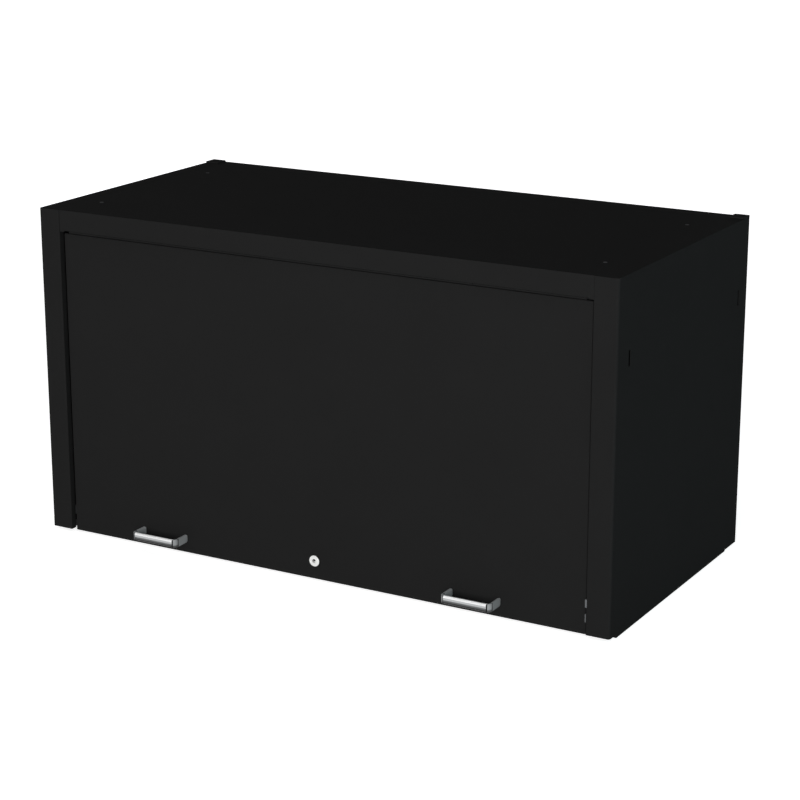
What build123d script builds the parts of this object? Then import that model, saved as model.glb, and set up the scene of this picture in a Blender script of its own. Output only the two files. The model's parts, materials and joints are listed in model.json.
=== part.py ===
from build123d import *
import math
import os

# Top hutch of a tool chest: a sheet steel box with an open bottom and a flip-up front door.
# Millimetres. X is to the right seen from the front, Y to the back, Z up.
# The origin is the centre of the four base bolts, on the surface that the hutch stands on.

# Cabinet
WIDTH = 1270.0
DEPTH = 622.0
HEIGHT = 680.0
SHEET = 1.5
BEND = 5.0
INNER_BEND = 2.0
POST_FACE = 48.5
POST_RETURN = 14.0
TOP_FLANGE = 20.0

# Base rails under the sides, and the bolts that hold the hutch down
RAIL_HEIGHT = 6.8
RAIL_WIDTH = 30.0
RAIL_SETBACK = 30.0
RAIL_REAR_SETBACK = 60.0
BASE_BOLT_INSET = 46.0
BASE_BOLT_RADIUS = 4.5

# Rear corner posts and back panel
REAR_POST_WIDTH = 31.0
REAR_POST_DEPTH = 31.0
REAR_POST_RISE = 2.8
REAR_POST_FOOT = 2.6
REAR_FOOT_GAP = 1.0
REAR_POST_CORNER = 3.0
LAP = 14.0
BACK_SHEET = 1.2
BACK_FLANGE = 20.0
BEAD_MARGIN = 154.0
BEAD_WIDTH = 26.0
BEAD_DEPTH = 3.0
BEAD_HEIGHTS = (230.0, 450.0)
BACK_RIVET_ROWS = 5
RIVET_HEAD_RADIUS = 3.4
RIVET_HEAD_HEIGHT = 1.3
RIVET_HEAD_TAPER = 25.0

# Hanging slots in the sides and accessory holes in the top
SLOT_HEIGHT = 32.0
SLOT_WIDTH = 8.0
SLOT_LEVEL = 525.0
SLOT_FROM_FRONT = 53.5
SLOT_FROM_BACK = 44.5
TOP_HOLE_RADIUS = 3.5
TOP_HOLE_FROM_SIDE = 76.0
TOP_HOLE_FROM_FRONT = 106.5
TOP_HOLE_FROM_BACK = 136.5

# Header over the door
HEADER_HEIGHT = 41.8
HEADER_DEPTH = 13.3
HEADER_TAB_WIDTH = 10.5
HEADER_TAB_DROP = 1.8

# Door
RECESS = 9.5
SIDE_GAP = 4.5
DOOR_BOTTOM = 3.3
DOOR_TOP_GAP = 6.3
DOOR_SHEET = 1.2
DOOR_THICKNESS = 22.0
DOOR_LIP = 16.0
DOOR_CORNER = 2.0
NOSE_HEIGHT = 26.0
NOSE_THICKNESS = 3.8

# Continuous hinge
KNUCKLE_RADIUS = 2.5
PIN_RADIUS = 1.25
PIN_FIT = 0.06
LEAF_SHEET = 1.2
LEAF_WIDTH = 22.0
HINGE_MARGIN = 12.0
KNUCKLES = 15
KNUCKLE_GAP = 0.6
BARREL_CLEARANCE = 0.35
HINGE_RIVETS = 8

# Door stiffeners, folded as hats
HAT_SPACING = 290.0
HAT_CROWN = 40.0
HAT_FOOT = 12.0
HAT_DEPTH = 16.0
HAT_BOTTOM = 82.0
HAT_TOP_MARGIN = 18.0

# Pull handles: two bent legs and a bright grip between them
HANDLE_INSET = 227.7
HANDLE_LEVEL = 34.0
HANDLE_WIDTH = 105.8
HANDLE_REACH = 44.6
HANDLE_HEIGHT = 16.5
LEG_THICKNESS = 4.3
LEG_BEND = 9.5
LEG_CORNER = 4.0
KNUCKLE_LENGTH = 5.6
GRIP_GROOVE = 1.6
GRIP_GROOVE_DEPTH = 1.2
GRIP_DEPTH = 8.6
GRIP_PROUD = 0.4
GRIP_CORNER = 4.2
HANDLE_SCREW_RADIUS = 1.4
HANDLE_SCREW_HEAD = 3.6
HANDLE_SCREW_HEAD_HEIGHT = 1.7
HANDLE_SCREW_GRIP = 10.0
HANDLE_SCREW_HOLE_END = 1.0
CLEARANCE_HOLE = 0.05

# Centre lock
LOCK_LEVEL = 41.0
LOCK_FLANGE_RADIUS = 12.7
LOCK_FLANGE_PROUD = 2.6
LOCK_BEVEL = 1.3
LOCK_BARREL_RADIUS = 8.0
PLUG_RADIUS = 6.2
PLUG_FIT = 0.08
KEYWAY_OUTER = 3.8
KEYWAY_INNER = 1.8
KEYWAY_DEPTH = 7.0
KEYWAY_NOTCH = 1.4
LOCK_NUT_FLATS = 24.0
LOCK_NUT_HEIGHT = 3.5
DRIVE_SQUARE = 7.0
CAM_SHEET = 2.5
CAM_WIDTH = 12.0
CAM_HUB_RADIUS = 9.0
CAM_POST_REACH = 15.0
CAM_POST_RADIUS = 2.5
CAM_TURN = 90.0
CAM_NUT_FLATS = 10.0
CAM_NUT_HEIGHT = 3.0
STUB_RADIUS = 2.9
LAYER_GAP = 0.4

# Latch rods with their forks and guides; fork heights count from the lock's centre
ROD_RADIUS = 4.0
ROD_OFFSET = 13.0
ROD_FIT = 0.08
ROD_CATCH_GAP = 0.8
ROD_TIP_INSET = 0.5
ROD_TIP_CHAMFER = 1.2
ROD_EDGE_CLEARANCE = 0.6
FORK_THICKNESS = 4.0
FORK_WALL = 3.0
FORK_PLAY = 0.55
FORK_MOUTH = 9.0
FORK_SLOT_TOP = 18.1
FORK_CROWN = 20.5
INNER_GUIDE_X = 150.0
OUTER_GUIDE_INSET = 77.0
GUIDE_SHEET = 2.0
GUIDE_HALF_HEIGHT = 9.0
GUIDE_FOOT = 16.0
GUIDE_WALL = 3.0

# Strike plates: the right one edges the gap, the left one sits inside its post
STRIKE_SHEET = 1.8
STRIKE_BACK = 28.0
STRIKE_HALF_HEIGHT = 22.3
STRIKE_SLOT_HALF = 6.7
STRIKE_SLOT_BACK = 24.5
STRIKE_LEFT_BOTTOM = 9.0
STRIKE_TAB = 3.6
STRIKE_TAB_SHEET = 0.6

# Gas struts: both pivots lie the same distance from the hinge axis,
# so a strut turns through half the door's angle
STRUT_INSET = 16.5
STRUT_ARM = 250.0
STRUT_SPREAD = 72.0
STRUT_STANDOFF = 18.0
EYE_RADIUS = 8.0
EYE_THICKNESS = 7.0
EYE_SHANK = 9.0
EYE_REACH = 14.0
EYE_FIT = 0.08
EYE_PLAY = 0.3
STUD_RADIUS = 4.0
STUD_NECK = 5.2
STUD_HEAD = 5.6
STUD_HEAD_THICKNESS = 1.2
STUD_TAIL = 3.0
STUD_TAIL_PROUD = 0.8
CYLINDER_RADIUS = 9.0
CYLINDER_WALL = 1.5
CYLINDER_FLOOR = 3.0
CYLINDER_END_MARGIN = 21.0
GLAND_LENGTH = 8.0
GLAND_CLEARANCE = 0.3
STRUT_ROD_RADIUS = 4.0
PISTON_RADIUS = 7.2
PISTON_LENGTH = 8.0
PISTON_MARGIN = 20.0

# Strut brackets
BRACKET_SHEET = 2.0
BRACKET_HALF = 17.0
CABINET_BRACKET_GAP = 10.5
CABINET_BRACKET_FOOT = 14.0
DOOR_BRACKET_GAP = 7.0
DOOR_BRACKET_LEG = 13.0
DOOR_BRACKET_REACH = 8.0

# Door stops with rubber bumpers
STOP_LEVEL = 150.0
STOP_HALF_HEIGHT = 18.0
STOP_REACH = 14.0
STOP_FLANGE = 24.0
STOP_GAP = 0.3
BUMPER_RADIUS = 6.0
BUMPER_HEIGHT = 3.2
BUMPER_CHAMFER = 0.8

# Places worked out from the sizes
HALF = WIDTH / 2
RAIL_LENGTH = DEPTH - RAIL_SETBACK - RAIL_REAR_SETBACK
BASE_BOLT_SPAN = RAIL_LENGTH - 2 * BASE_BOLT_INSET
FRONT = -(RAIL_SETBACK + RAIL_LENGTH / 2)
BACK = FRONT + DEPTH
DECK = HEIGHT - SHEET
REAR_EDGE = BACK - REAR_POST_DEPTH
BACK_OUTER = BACK - SHEET
POST_INNER = HALF - POST_FACE
WALL_INNER = HALF - SHEET
BACK_PANEL_HALF = HALF - REAR_POST_WIDTH
HEADER_BOTTOM = HEIGHT - HEADER_HEIGHT
HEADER_FACE = FRONT + INNER_BEND
HEADER_WEB = FRONT + HEADER_DEPTH
DOOR_HALF = POST_INNER - SIDE_GAP
DOOR_FACE = FRONT + RECESS
DOOR_TOP = HEADER_BOTTOM - DOOR_TOP_GAP
SKIN_BACK = DOOR_FACE + DOOR_SHEET
DOOR_BACK = DOOR_FACE + DOOR_THICKNESS
PAN_TOP = DOOR_TOP - NOSE_HEIGHT
HINGE_Y = DOOR_FACE + KNUCKLE_RADIUS
HINGE_Z = DOOR_TOP + BARREL_CLEARANCE + KNUCKLE_RADIUS
HINGE_LENGTH = 2 * (DOOR_HALF - HINGE_MARGIN)
LEAF_BACK = HINGE_Y + KNUCKLE_RADIUS
LEAF_FRONT = LEAF_BACK - LEAF_SHEET
HANDLE_OFFSET = DOOR_HALF - HANDLE_INSET
OUTER_GUIDE_X = DOOR_HALF - OUTER_GUIDE_INSET
ROD_Y = FRONT + POST_RETURN + ROD_CATCH_GAP + ROD_RADIUS
CAM_FRONT = ROD_Y + ROD_RADIUS + LAYER_GAP
CAM_BACK = CAM_FRONT + CAM_SHEET
CAM_POST_SIDE = CAM_POST_REACH * math.sin(math.radians(CAM_TURN / 2))
CAM_POST_RISE = CAM_POST_REACH * math.cos(math.radians(CAM_TURN / 2))
STRUT_X = POST_INNER - STRUT_INSET
DOOR_PIVOT_Y = DOOR_BACK + STRUT_STANDOFF
DOOR_PIVOT_LEAN = math.asin((DOOR_PIVOT_Y - HINGE_Y) / STRUT_ARM)
DOOR_PIVOT_Z = HINGE_Z - STRUT_ARM * math.cos(DOOR_PIVOT_LEAN)
CABINET_PIVOT_LEAN = DOOR_PIVOT_LEAN + math.radians(STRUT_SPREAD)
CABINET_PIVOT_Y = HINGE_Y + STRUT_ARM * math.sin(CABINET_PIVOT_LEAN)
CABINET_PIVOT_Z = HINGE_Z - STRUT_ARM * math.cos(CABINET_PIVOT_LEAN)
STRUT_LENGTH = 2 * STRUT_ARM * math.sin(math.radians(STRUT_SPREAD / 2))
CYLINDER_END = STRUT_LENGTH - CYLINDER_END_MARGIN


def front_plane(y):
    """Plane across the hutch at depth y; its local axes are X and Z, and it faces the front."""
    return Plane(origin=(0, y, 0), x_dir=(1, 0, 0), z_dir=(0, -1, 0))


def strut_plane(along):
    """Plane of the strut's swing; local X runs from the cabinet pivot towards the door pivot."""
    run_y = (DOOR_PIVOT_Y - CABINET_PIVOT_Y) / STRUT_LENGTH
    run_z = (DOOR_PIVOT_Z - CABINET_PIVOT_Z) / STRUT_LENGTH
    start = (STRUT_X, CABINET_PIVOT_Y + along * run_y, CABINET_PIVOT_Z + along * run_z)
    return Plane(origin=start, x_dir=(0, run_y, run_z), z_dir=(1, 0, 0))


def strut_section(along):
    """Plane across the strut at a distance from the cabinet pivot, facing the door pivot."""
    lengthways = strut_plane(along)
    return Plane(origin=lengthways.origin, x_dir=lengthways.z_dir, z_dir=lengthways.x_dir)


def span(low_a, high_a, low_b, high_b, mode=Mode.ADD):
    """Rectangle between two limits along each local axis of the sketch."""
    with Locations(((low_a + high_a) / 2, (low_b + high_b) / 2)):
        Rectangle(high_a - low_a, high_b - low_b, mode=mode)


def write(piece, name):
    """Labels a finished piece and writes it."""
    piece.part.label = name
    export_step(piece.part, f"parts/{name}.step")


def write_pair(piece, name):
    """Writes a right-hand piece and its left-hand twin."""
    write(piece, f"right_{name}")
    with BuildPart() as twin:
        mirror(piece.part, about=Plane.YZ)
    write(twin, f"left_{name}")


# Right side panel, folded round the front as a post
def side_panel():
    rail_middle = HALF - RAIL_WIDTH / 2
    with BuildPart() as panel:
        with BuildSketch(Plane.XY.offset(RAIL_HEIGHT)):
            with BuildLine():
                FilletPolyline(
                    (HALF, REAR_EDGE),
                    (HALF, FRONT),
                    (POST_INNER, FRONT),
                    (POST_INNER, FRONT + POST_RETURN),
                    radius=(BEND, INNER_BEND),
                )
                offset(amount=SHEET, side=Side.RIGHT)
            make_face()
        extrude(amount=DECK - RAIL_HEIGHT)
        # inward flange that stands on the base rail
        with BuildSketch(Plane.XY.offset(RAIL_HEIGHT)):
            span(HALF - RAIL_WIDTH, HALF - SHEET / 2, FRONT + RAIL_SETBACK, REAR_EDGE)
        extrude(amount=SHEET)
        # inward flange under the top panel
        with BuildSketch(Plane.XY.offset(DECK - SHEET)):
            span(HALF - TOP_FLANGE, HALF - SHEET / 2, FRONT + RAIL_SETBACK, REAR_EDGE)
        extrude(amount=SHEET)
        with BuildSketch(Plane.YZ.offset(WALL_INNER)):
            with Locations((FRONT + SLOT_FROM_FRONT, SLOT_LEVEL), (BACK - SLOT_FROM_BACK, SLOT_LEVEL)):
                SlotOverall(SLOT_HEIGHT, SLOT_WIDTH, rotation=90)
        extrude(amount=SHEET, mode=Mode.SUBTRACT)
        with BuildSketch(Plane.XY.offset(RAIL_HEIGHT)):
            with Locations((rail_middle, -BASE_BOLT_SPAN / 2), (rail_middle, BASE_BOLT_SPAN / 2)):
                Circle(BASE_BOLT_RADIUS)
        extrude(amount=SHEET, mode=Mode.SUBTRACT)
    return panel


# Flat bar that the side stands on, drilled for the hold-down bolts
def base_rail():
    rail_middle = HALF - RAIL_WIDTH / 2
    with BuildPart() as rail:
        with BuildSketch(Plane.XY):
            span(HALF - RAIL_WIDTH, HALF, -RAIL_LENGTH / 2, RAIL_LENGTH / 2)
            with Locations((rail_middle, -BASE_BOLT_SPAN / 2), (rail_middle, BASE_BOLT_SPAN / 2)):
                Circle(BASE_BOLT_RADIUS, mode=Mode.SUBTRACT)
        extrude(amount=RAIL_HEIGHT)
    return rail


# Rear corner post: a capped tube that stands proud of the top, with a lap flange for the back panel
def rear_post():
    top = HEIGHT + REAR_POST_RISE
    inner = HALF - REAR_POST_WIDTH
    with BuildPart() as post:
        with BuildSketch(Plane.XY.offset(REAR_POST_FOOT)):
            span(inner, HALF, REAR_EDGE, BACK)
            fillet(vertices().group_by(Axis.X)[-1].sort_by(Axis.Y)[-1], radius=REAR_POST_CORNER)
        extrude(amount=top - REAR_POST_FOOT)
        with BuildSketch(Plane.XY.offset(REAR_POST_FOOT)):
            span(inner + SHEET, WALL_INNER, REAR_EDGE + SHEET, BACK_OUTER)
            fillet(vertices().group_by(Axis.X)[-1].sort_by(Axis.Y)[-1], radius=REAR_POST_CORNER - SHEET)
        extrude(amount=top - REAR_POST_FOOT - SHEET, mode=Mode.SUBTRACT)
        with BuildSketch(Plane.XY.offset(RAIL_HEIGHT)):
            span(inner - LAP, inner + SHEET / 2, BACK_OUTER, BACK)
        extrude(amount=DECK - LAP - RAIL_HEIGHT)
        # foot that reaches forward under the side panel, up to the base rail
        with BuildSketch(Plane.XY.offset(REAR_POST_FOOT)):
            span(inner, HALF, RAIL_LENGTH / 2 + REAR_FOOT_GAP, REAR_EDGE + SHEET)
        extrude(amount=RAIL_HEIGHT - REAR_POST_FOOT)
    return post


# Top panel with a turned-down rear flange and holes for accessories
def top_panel():
    with BuildPart() as top:
        with BuildSketch(Plane.XY.offset(DECK)):
            span(-HALF, HALF, FRONT, BACK)
            fillet(vertices().group_by(Axis.Y)[0], radius=BEND)
            span(-POST_INNER, POST_INNER, FRONT, HEADER_FACE, mode=Mode.SUBTRACT)
            for side in (-1, 1):
                with Locations((side * (HALF - REAR_POST_WIDTH / 2), BACK - REAR_POST_DEPTH / 2)):
                    Rectangle(REAR_POST_WIDTH, REAR_POST_DEPTH, mode=Mode.SUBTRACT)
            for hole_y in (FRONT + TOP_HOLE_FROM_FRONT, BACK - TOP_HOLE_FROM_BACK):
                with Locations((TOP_HOLE_FROM_SIDE - HALF, hole_y), (HALF - TOP_HOLE_FROM_SIDE, hole_y)):
                    Circle(TOP_HOLE_RADIUS, mode=Mode.SUBTRACT)
        extrude(amount=SHEET)
        with BuildSketch(Plane.XY.offset(DECK)):
            span(REAR_POST_WIDTH - HALF, HALF - REAR_POST_WIDTH, BACK_OUTER, BACK)
        extrude(amount=-LAP)
    return top


# Boxed header between the posts, with a lower tab at each end
def header_rail():
    with BuildPart() as header:
        with BuildSketch(Plane.YZ.offset(-POST_INNER)):
            span(HEADER_FACE, HEADER_WEB, HEADER_BOTTOM, DECK)
            fillet(vertices().group_by(Axis.X)[0].sort_by(Axis.Y)[0], radius=SHEET)
            span(HEADER_FACE + SHEET, HEADER_WEB - SHEET, HEADER_BOTTOM + SHEET, DECK - SHEET, mode=Mode.SUBTRACT)
        extrude(amount=2 * POST_INNER)
        for side in (-1, 1):
            with BuildSketch(front_plane(HEADER_FACE + SHEET)):
                with Locations((side * (POST_INNER - HEADER_TAB_WIDTH / 2), HEADER_BOTTOM)):
                    Rectangle(HEADER_TAB_WIDTH, 2 * HEADER_TAB_DROP)
            extrude(amount=SHEET)
    return header


# Back panel with two pressed beads and a foot flange turned inwards
def back_panel():
    half = BACK_PANEL_HALF
    bead = 2 * (half - BEAD_MARGIN)
    inner = BACK_OUTER - BACK_SHEET
    with BuildPart() as panel:
        with BuildSketch(Plane.YZ.offset(-half)):
            span(inner, BACK_OUTER, RAIL_HEIGHT, DECK)
            span(BACK_OUTER - BACK_FLANGE, BACK_OUTER, RAIL_HEIGHT, RAIL_HEIGHT + BACK_SHEET)
        extrude(amount=2 * half)
        with BuildSketch(front_plane(inner)):
            for level in BEAD_HEIGHTS:
                with Locations((0, level)):
                    SlotOverall(bead, BEAD_WIDTH)
        extrude(amount=BEAD_DEPTH)
        with BuildSketch(front_plane(BACK_OUTER)):
            for level in BEAD_HEIGHTS:
                with Locations((0, level)):
                    SlotOverall(bead - 2 * BACK_SHEET, BEAD_WIDTH - 2 * BACK_SHEET)
        extrude(amount=BEAD_DEPTH, mode=Mode.SUBTRACT)
    return panel


# Heads of the blind rivets that hold the back panel to the rear posts and the top
def back_panel_rivets():
    column = BACK_PANEL_HALF - LAP / 2
    rise = (DECK - 3 * LAP - RAIL_HEIGHT) / (BACK_RIVET_ROWS - 1)
    top = DECK - LAP / 2
    with BuildPart() as rivets:
        with BuildSketch(front_plane(BACK)):
            for row in range(BACK_RIVET_ROWS):
                level = RAIL_HEIGHT + LAP + row * rise
                with Locations((-column, level), (column, level)):
                    Circle(RIVET_HEAD_RADIUS)
            with Locations((-column, top), (0, top), (column, top)):
                Circle(RIVET_HEAD_RADIUS)
        extrude(amount=-RIVET_HEAD_HEIGHT, taper=RIVET_HEAD_TAPER)
    return rivets


# One leaf of the continuous hinge; it owns every second knuckle from the first on
def hinge_leaf(first, direction):
    start = -HINGE_LENGTH / 2
    pitch = HINGE_LENGTH / KNUCKLES
    near = KNUCKLE_RADIUS + BARREL_CLEARANCE
    low, high = sorted((HINGE_Z + direction * near, HINGE_Z + direction * LEAF_WIDTH))
    web_low, web_high = sorted((HINGE_Z, HINGE_Z + direction * (near + LEAF_SHEET)))
    with BuildPart() as leaf:
        with BuildSketch(Plane.YZ.offset(start)):
            span(LEAF_FRONT, LEAF_BACK, low, high)
        extrude(amount=HINGE_LENGTH)
        for number in range(first, KNUCKLES, 2):
            with BuildSketch(Plane.YZ.offset(start + number * pitch + KNUCKLE_GAP / 2)):
                with Locations((HINGE_Y, HINGE_Z)):
                    Circle(KNUCKLE_RADIUS)
                span(LEAF_FRONT, LEAF_BACK, web_low, web_high)
                with Locations((HINGE_Y, HINGE_Z)):
                    Circle(PIN_RADIUS + PIN_FIT, mode=Mode.SUBTRACT)
            extrude(amount=pitch - KNUCKLE_GAP)
    return leaf


def hinge_pin():
    with BuildPart() as pin:
        with BuildSketch(Plane.YZ.offset(-HINGE_LENGTH / 2)):
            with Locations((HINGE_Y, HINGE_Z)):
                Circle(PIN_RADIUS)
        extrude(amount=HINGE_LENGTH)
    return pin


# Rivet heads along one leaf of the hinge
def hinge_rivets(direction):
    level = HINGE_Z + direction * (LEAF_WIDTH + KNUCKLE_RADIUS) / 2
    with BuildPart() as rivets:
        with BuildSketch(front_plane(LEAF_BACK)):
            with Locations((0, level)):
                with GridLocations(HINGE_LENGTH / HINGE_RIVETS, 1, HINGE_RIVETS, 1):
                    Circle(RIVET_HEAD_RADIUS)
        extrude(amount=-RIVET_HEAD_HEIGHT, taper=RIVET_HEAD_TAPER)
    return rivets


# Strike plate whose slot lets a latch rod through; the slot is open to the front
def strike_plate(inner, outer, front, level, bottom):
    with BuildPart() as plate:
        with BuildSketch(Plane.YZ.offset(inner)):
            span(front, FRONT + STRIKE_BACK, bottom, bottom + 2 * STRIKE_HALF_HEIGHT)
            span(
                front, FRONT + STRIKE_SLOT_BACK,
                level - STRIKE_SLOT_HALF, level + STRIKE_SLOT_HALF, mode=Mode.SUBTRACT,
            )
        extrude(amount=outer - inner)
    return plate


# Right strike plate, with a tab on its upper arm that laps the post's edge
def right_strike_plate():
    level = LOCK_LEVEL + ROD_OFFSET
    inner = POST_INNER - STRIKE_SHEET
    plate = strike_plate(inner, POST_INNER, FRONT, level, level - STRIKE_HALF_HEIGHT)
    with BuildPart() as tabbed:
        add(plate.part)
        with BuildSketch(Plane.XY.offset(level + STRIKE_SLOT_HALF)):
            span(inner, inner + STRIKE_TAB, FRONT - STRIKE_TAB_SHEET, FRONT)
        extrude(amount=STRIKE_HALF_HEIGHT - STRIKE_SLOT_HALF)
    return tabbed


# Left strike plate, behind the return of its post
def left_strike_plate():
    outer = -POST_INNER - SHEET
    return strike_plate(
        outer - STRIKE_SHEET, outer, FRONT + BEND, LOCK_LEVEL - ROD_OFFSET, STRIKE_LEFT_BOTTOM
    )


# Door skin: a folded pan with a lip round its open back and a thin nose for the hinge leaf
def door_skin():
    inner_half = DOOR_HALF - DOOR_SHEET
    nose_back = DOOR_FACE + NOSE_THICKNESS
    with BuildPart() as skin:
        with BuildSketch(Plane.YZ.offset(-DOOR_HALF)):
            span(DOOR_FACE, DOOR_BACK, DOOR_BOTTOM, PAN_TOP)
            span(DOOR_FACE, nose_back, PAN_TOP, DOOR_TOP)
        extrude(amount=2 * DOOR_HALF)
        fillet(skin.faces().sort_by(Axis.Y)[0].edges(), radius=DOOR_CORNER)
        with BuildSketch(Plane.YZ.offset(-inner_half)):
            span(SKIN_BACK, DOOR_BACK - DOOR_SHEET, DOOR_BOTTOM + DOOR_SHEET, PAN_TOP - DOOR_SHEET)
            span(SKIN_BACK, nose_back - DOOR_SHEET, PAN_TOP - DOOR_SHEET, DOOR_TOP - DOOR_SHEET)
        extrude(amount=2 * inner_half, mode=Mode.SUBTRACT)
        with BuildSketch(front_plane(DOOR_BACK)):
            span(DOOR_LIP - DOOR_HALF, DOOR_HALF - DOOR_LIP, DOOR_BOTTOM + DOOR_LIP, PAN_TOP - DOOR_LIP)
        extrude(amount=DOOR_SHEET, mode=Mode.SUBTRACT)
        with BuildSketch(front_plane(SKIN_BACK)):
            with Locations((0, LOCK_LEVEL)):
                Circle(LOCK_BARREL_RADIUS + CLEARANCE_HOLE)
            with Locations((-HANDLE_OFFSET, HANDLE_LEVEL), (HANDLE_OFFSET, HANDLE_LEVEL)):
                with GridLocations(HANDLE_WIDTH - LEG_THICKNESS, 1, 2, 1):
                    Circle(HANDLE_SCREW_RADIUS + CLEARANCE_HOLE)
        extrude(amount=DOOR_SHEET, mode=Mode.SUBTRACT)
        for side in (-1, 1):
            with BuildSketch(Plane.YZ.offset(side * DOOR_HALF)):
                with Locations((ROD_Y, LOCK_LEVEL + side * ROD_OFFSET)):
                    Circle(ROD_RADIUS + ROD_EDGE_CLEARANCE)
            extrude(amount=-side * DOOR_SHEET, mode=Mode.SUBTRACT)
    return skin


# Hat-section stiffener behind the door skin, centred on x
def door_stiffener(x):
    half = HAT_CROWN / 2
    with BuildPart() as hat:
        with BuildSketch(Plane.XY.offset(HAT_BOTTOM)):
            with BuildLine():
                FilletPolyline(
                    (x - half - HAT_FOOT, SKIN_BACK),
                    (x - half, SKIN_BACK),
                    (x - half, SKIN_BACK + HAT_DEPTH),
                    (x + half, SKIN_BACK + HAT_DEPTH),
                    (x + half, SKIN_BACK),
                    (x + half + HAT_FOOT, SKIN_BACK),
                    radius=2 * DOOR_SHEET,
                )
                offset(amount=DOOR_SHEET, side=Side.LEFT)
            make_face()
        extrude(amount=PAN_TOP - HAT_TOP_MARGIN - HAT_BOTTOM)
    return hat


# The two bent legs of a pull handle centred on x
def handle_legs(x):
    front = DOOR_FACE - HANDLE_REACH
    half = HANDLE_WIDTH / 2
    neck_half = half - KNUCKLE_LENGTH
    with BuildPart() as legs:
        for side in (-1, 1):
            with BuildSketch(Plane.XY.offset(HANDLE_LEVEL - HANDLE_HEIGHT / 2)):
                with BuildLine():
                    FilletPolyline(
                        (x + side * half, DOOR_FACE),
                        (x + side * half, front),
                        (x + side * (half - LEG_BEND - LEG_THICKNESS), front),
                        radius=LEG_BEND,
                    )
                    offset(amount=LEG_THICKNESS, side=Side.RIGHT if side > 0 else Side.LEFT)
                make_face()
            extrude(amount=HANDLE_HEIGHT)
        fillet(legs.edges().filter_by(Axis.X).group_by(Axis.Y)[-1], radius=LEG_CORNER)
        # the bends stop where the grip's neck begins
        with BuildSketch(Plane.XY.offset(HANDLE_LEVEL - HANDLE_HEIGHT / 2)):
            span(x - neck_half, x + neck_half, front, DOOR_FACE)
        extrude(amount=HANDLE_HEIGHT, mode=Mode.SUBTRACT)
        with BuildSketch(front_plane(DOOR_FACE)):
            with Locations((x, HANDLE_LEVEL)):
                with GridLocations(HANDLE_WIDTH - LEG_THICKNESS, 1, 2, 1):
                    Circle(HANDLE_SCREW_RADIUS + CLEARANCE_HOLE)
        extrude(amount=HANDLE_SCREW_GRIP + HANDLE_SCREW_HOLE_END, mode=Mode.SUBTRACT)
    return legs


# The bright grip of a pull handle, necked down where it meets the legs
def handle_grip(x):
    front = DOOR_FACE - HANDLE_REACH
    middle = front - GRIP_PROUD + GRIP_DEPTH / 2
    neck_half = HANDLE_WIDTH / 2 - KNUCKLE_LENGTH
    grip_half = neck_half - GRIP_GROOVE
    neck_rise = HANDLE_HEIGHT / 2 - GRIP_GROOVE_DEPTH
    with BuildPart() as grip:
        with BuildSketch(Plane.YZ.offset(x - grip_half)):
            with Locations((middle, HANDLE_LEVEL)):
                RectangleRounded(GRIP_DEPTH, HANDLE_HEIGHT + 2 * GRIP_PROUD, GRIP_CORNER)
        extrude(amount=2 * grip_half)
        with BuildSketch(Plane.YZ.offset(x - neck_half)):
            span(
                front + GRIP_GROOVE_DEPTH, front + LEG_THICKNESS,
                HANDLE_LEVEL - neck_rise, HANDLE_LEVEL + neck_rise,
            )
        extrude(amount=2 * neck_half)
    return grip


# Screws that come through the skin into the handles' legs
def handle_screws():
    with BuildPart() as screws:
        for radius, start, length in (
            (HANDLE_SCREW_RADIUS, SKIN_BACK, HANDLE_SCREW_GRIP + DOOR_SHEET),
            (HANDLE_SCREW_HEAD, SKIN_BACK + HANDLE_SCREW_HEAD_HEIGHT, HANDLE_SCREW_HEAD_HEIGHT),
        ):
            with BuildSketch(front_plane(start)):
                for side in (-1, 1):
                    with Locations((side * HANDLE_OFFSET, HANDLE_LEVEL)):
                        with GridLocations(HANDLE_WIDTH - LEG_THICKNESS, 1, 2, 1):
                            Circle(radius)
            extrude(amount=length)
    return screws


# Lock case: bevelled flange in front of the skin, barrel behind it
def lock_case():
    barrel_back = CAM_FRONT - LAYER_GAP
    with BuildPart() as case:
        with BuildSketch(front_plane(DOOR_FACE)):
            with Locations((0, LOCK_LEVEL)):
                Circle(LOCK_FLANGE_RADIUS)
        extrude(amount=LOCK_FLANGE_PROUD)
        chamfer(case.faces().sort_by(Axis.Y)[0].edges(), length=LOCK_BEVEL)
        with BuildSketch(front_plane(barrel_back)):
            with Locations((0, LOCK_LEVEL)):
                Circle(LOCK_BARREL_RADIUS)
        extrude(amount=barrel_back - DOOR_FACE)
        with BuildSketch(front_plane(barrel_back)):
            with Locations((0, LOCK_LEVEL)):
                Circle(PLUG_RADIUS + PLUG_FIT)
        extrude(amount=barrel_back - DOOR_FACE + LOCK_FLANGE_PROUD, mode=Mode.SUBTRACT)
    return case


def lock_nut():
    with BuildPart() as nut:
        with BuildSketch(front_plane(SKIN_BACK)):
            with Locations((0, LOCK_LEVEL)):
                RegularPolygon(LOCK_NUT_FLATS / 2, 6, major_radius=False)
                Circle(LOCK_BARREL_RADIUS + CLEARANCE_HOLE, mode=Mode.SUBTRACT)
        extrude(amount=-LOCK_NUT_HEIGHT)
    return nut


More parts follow.
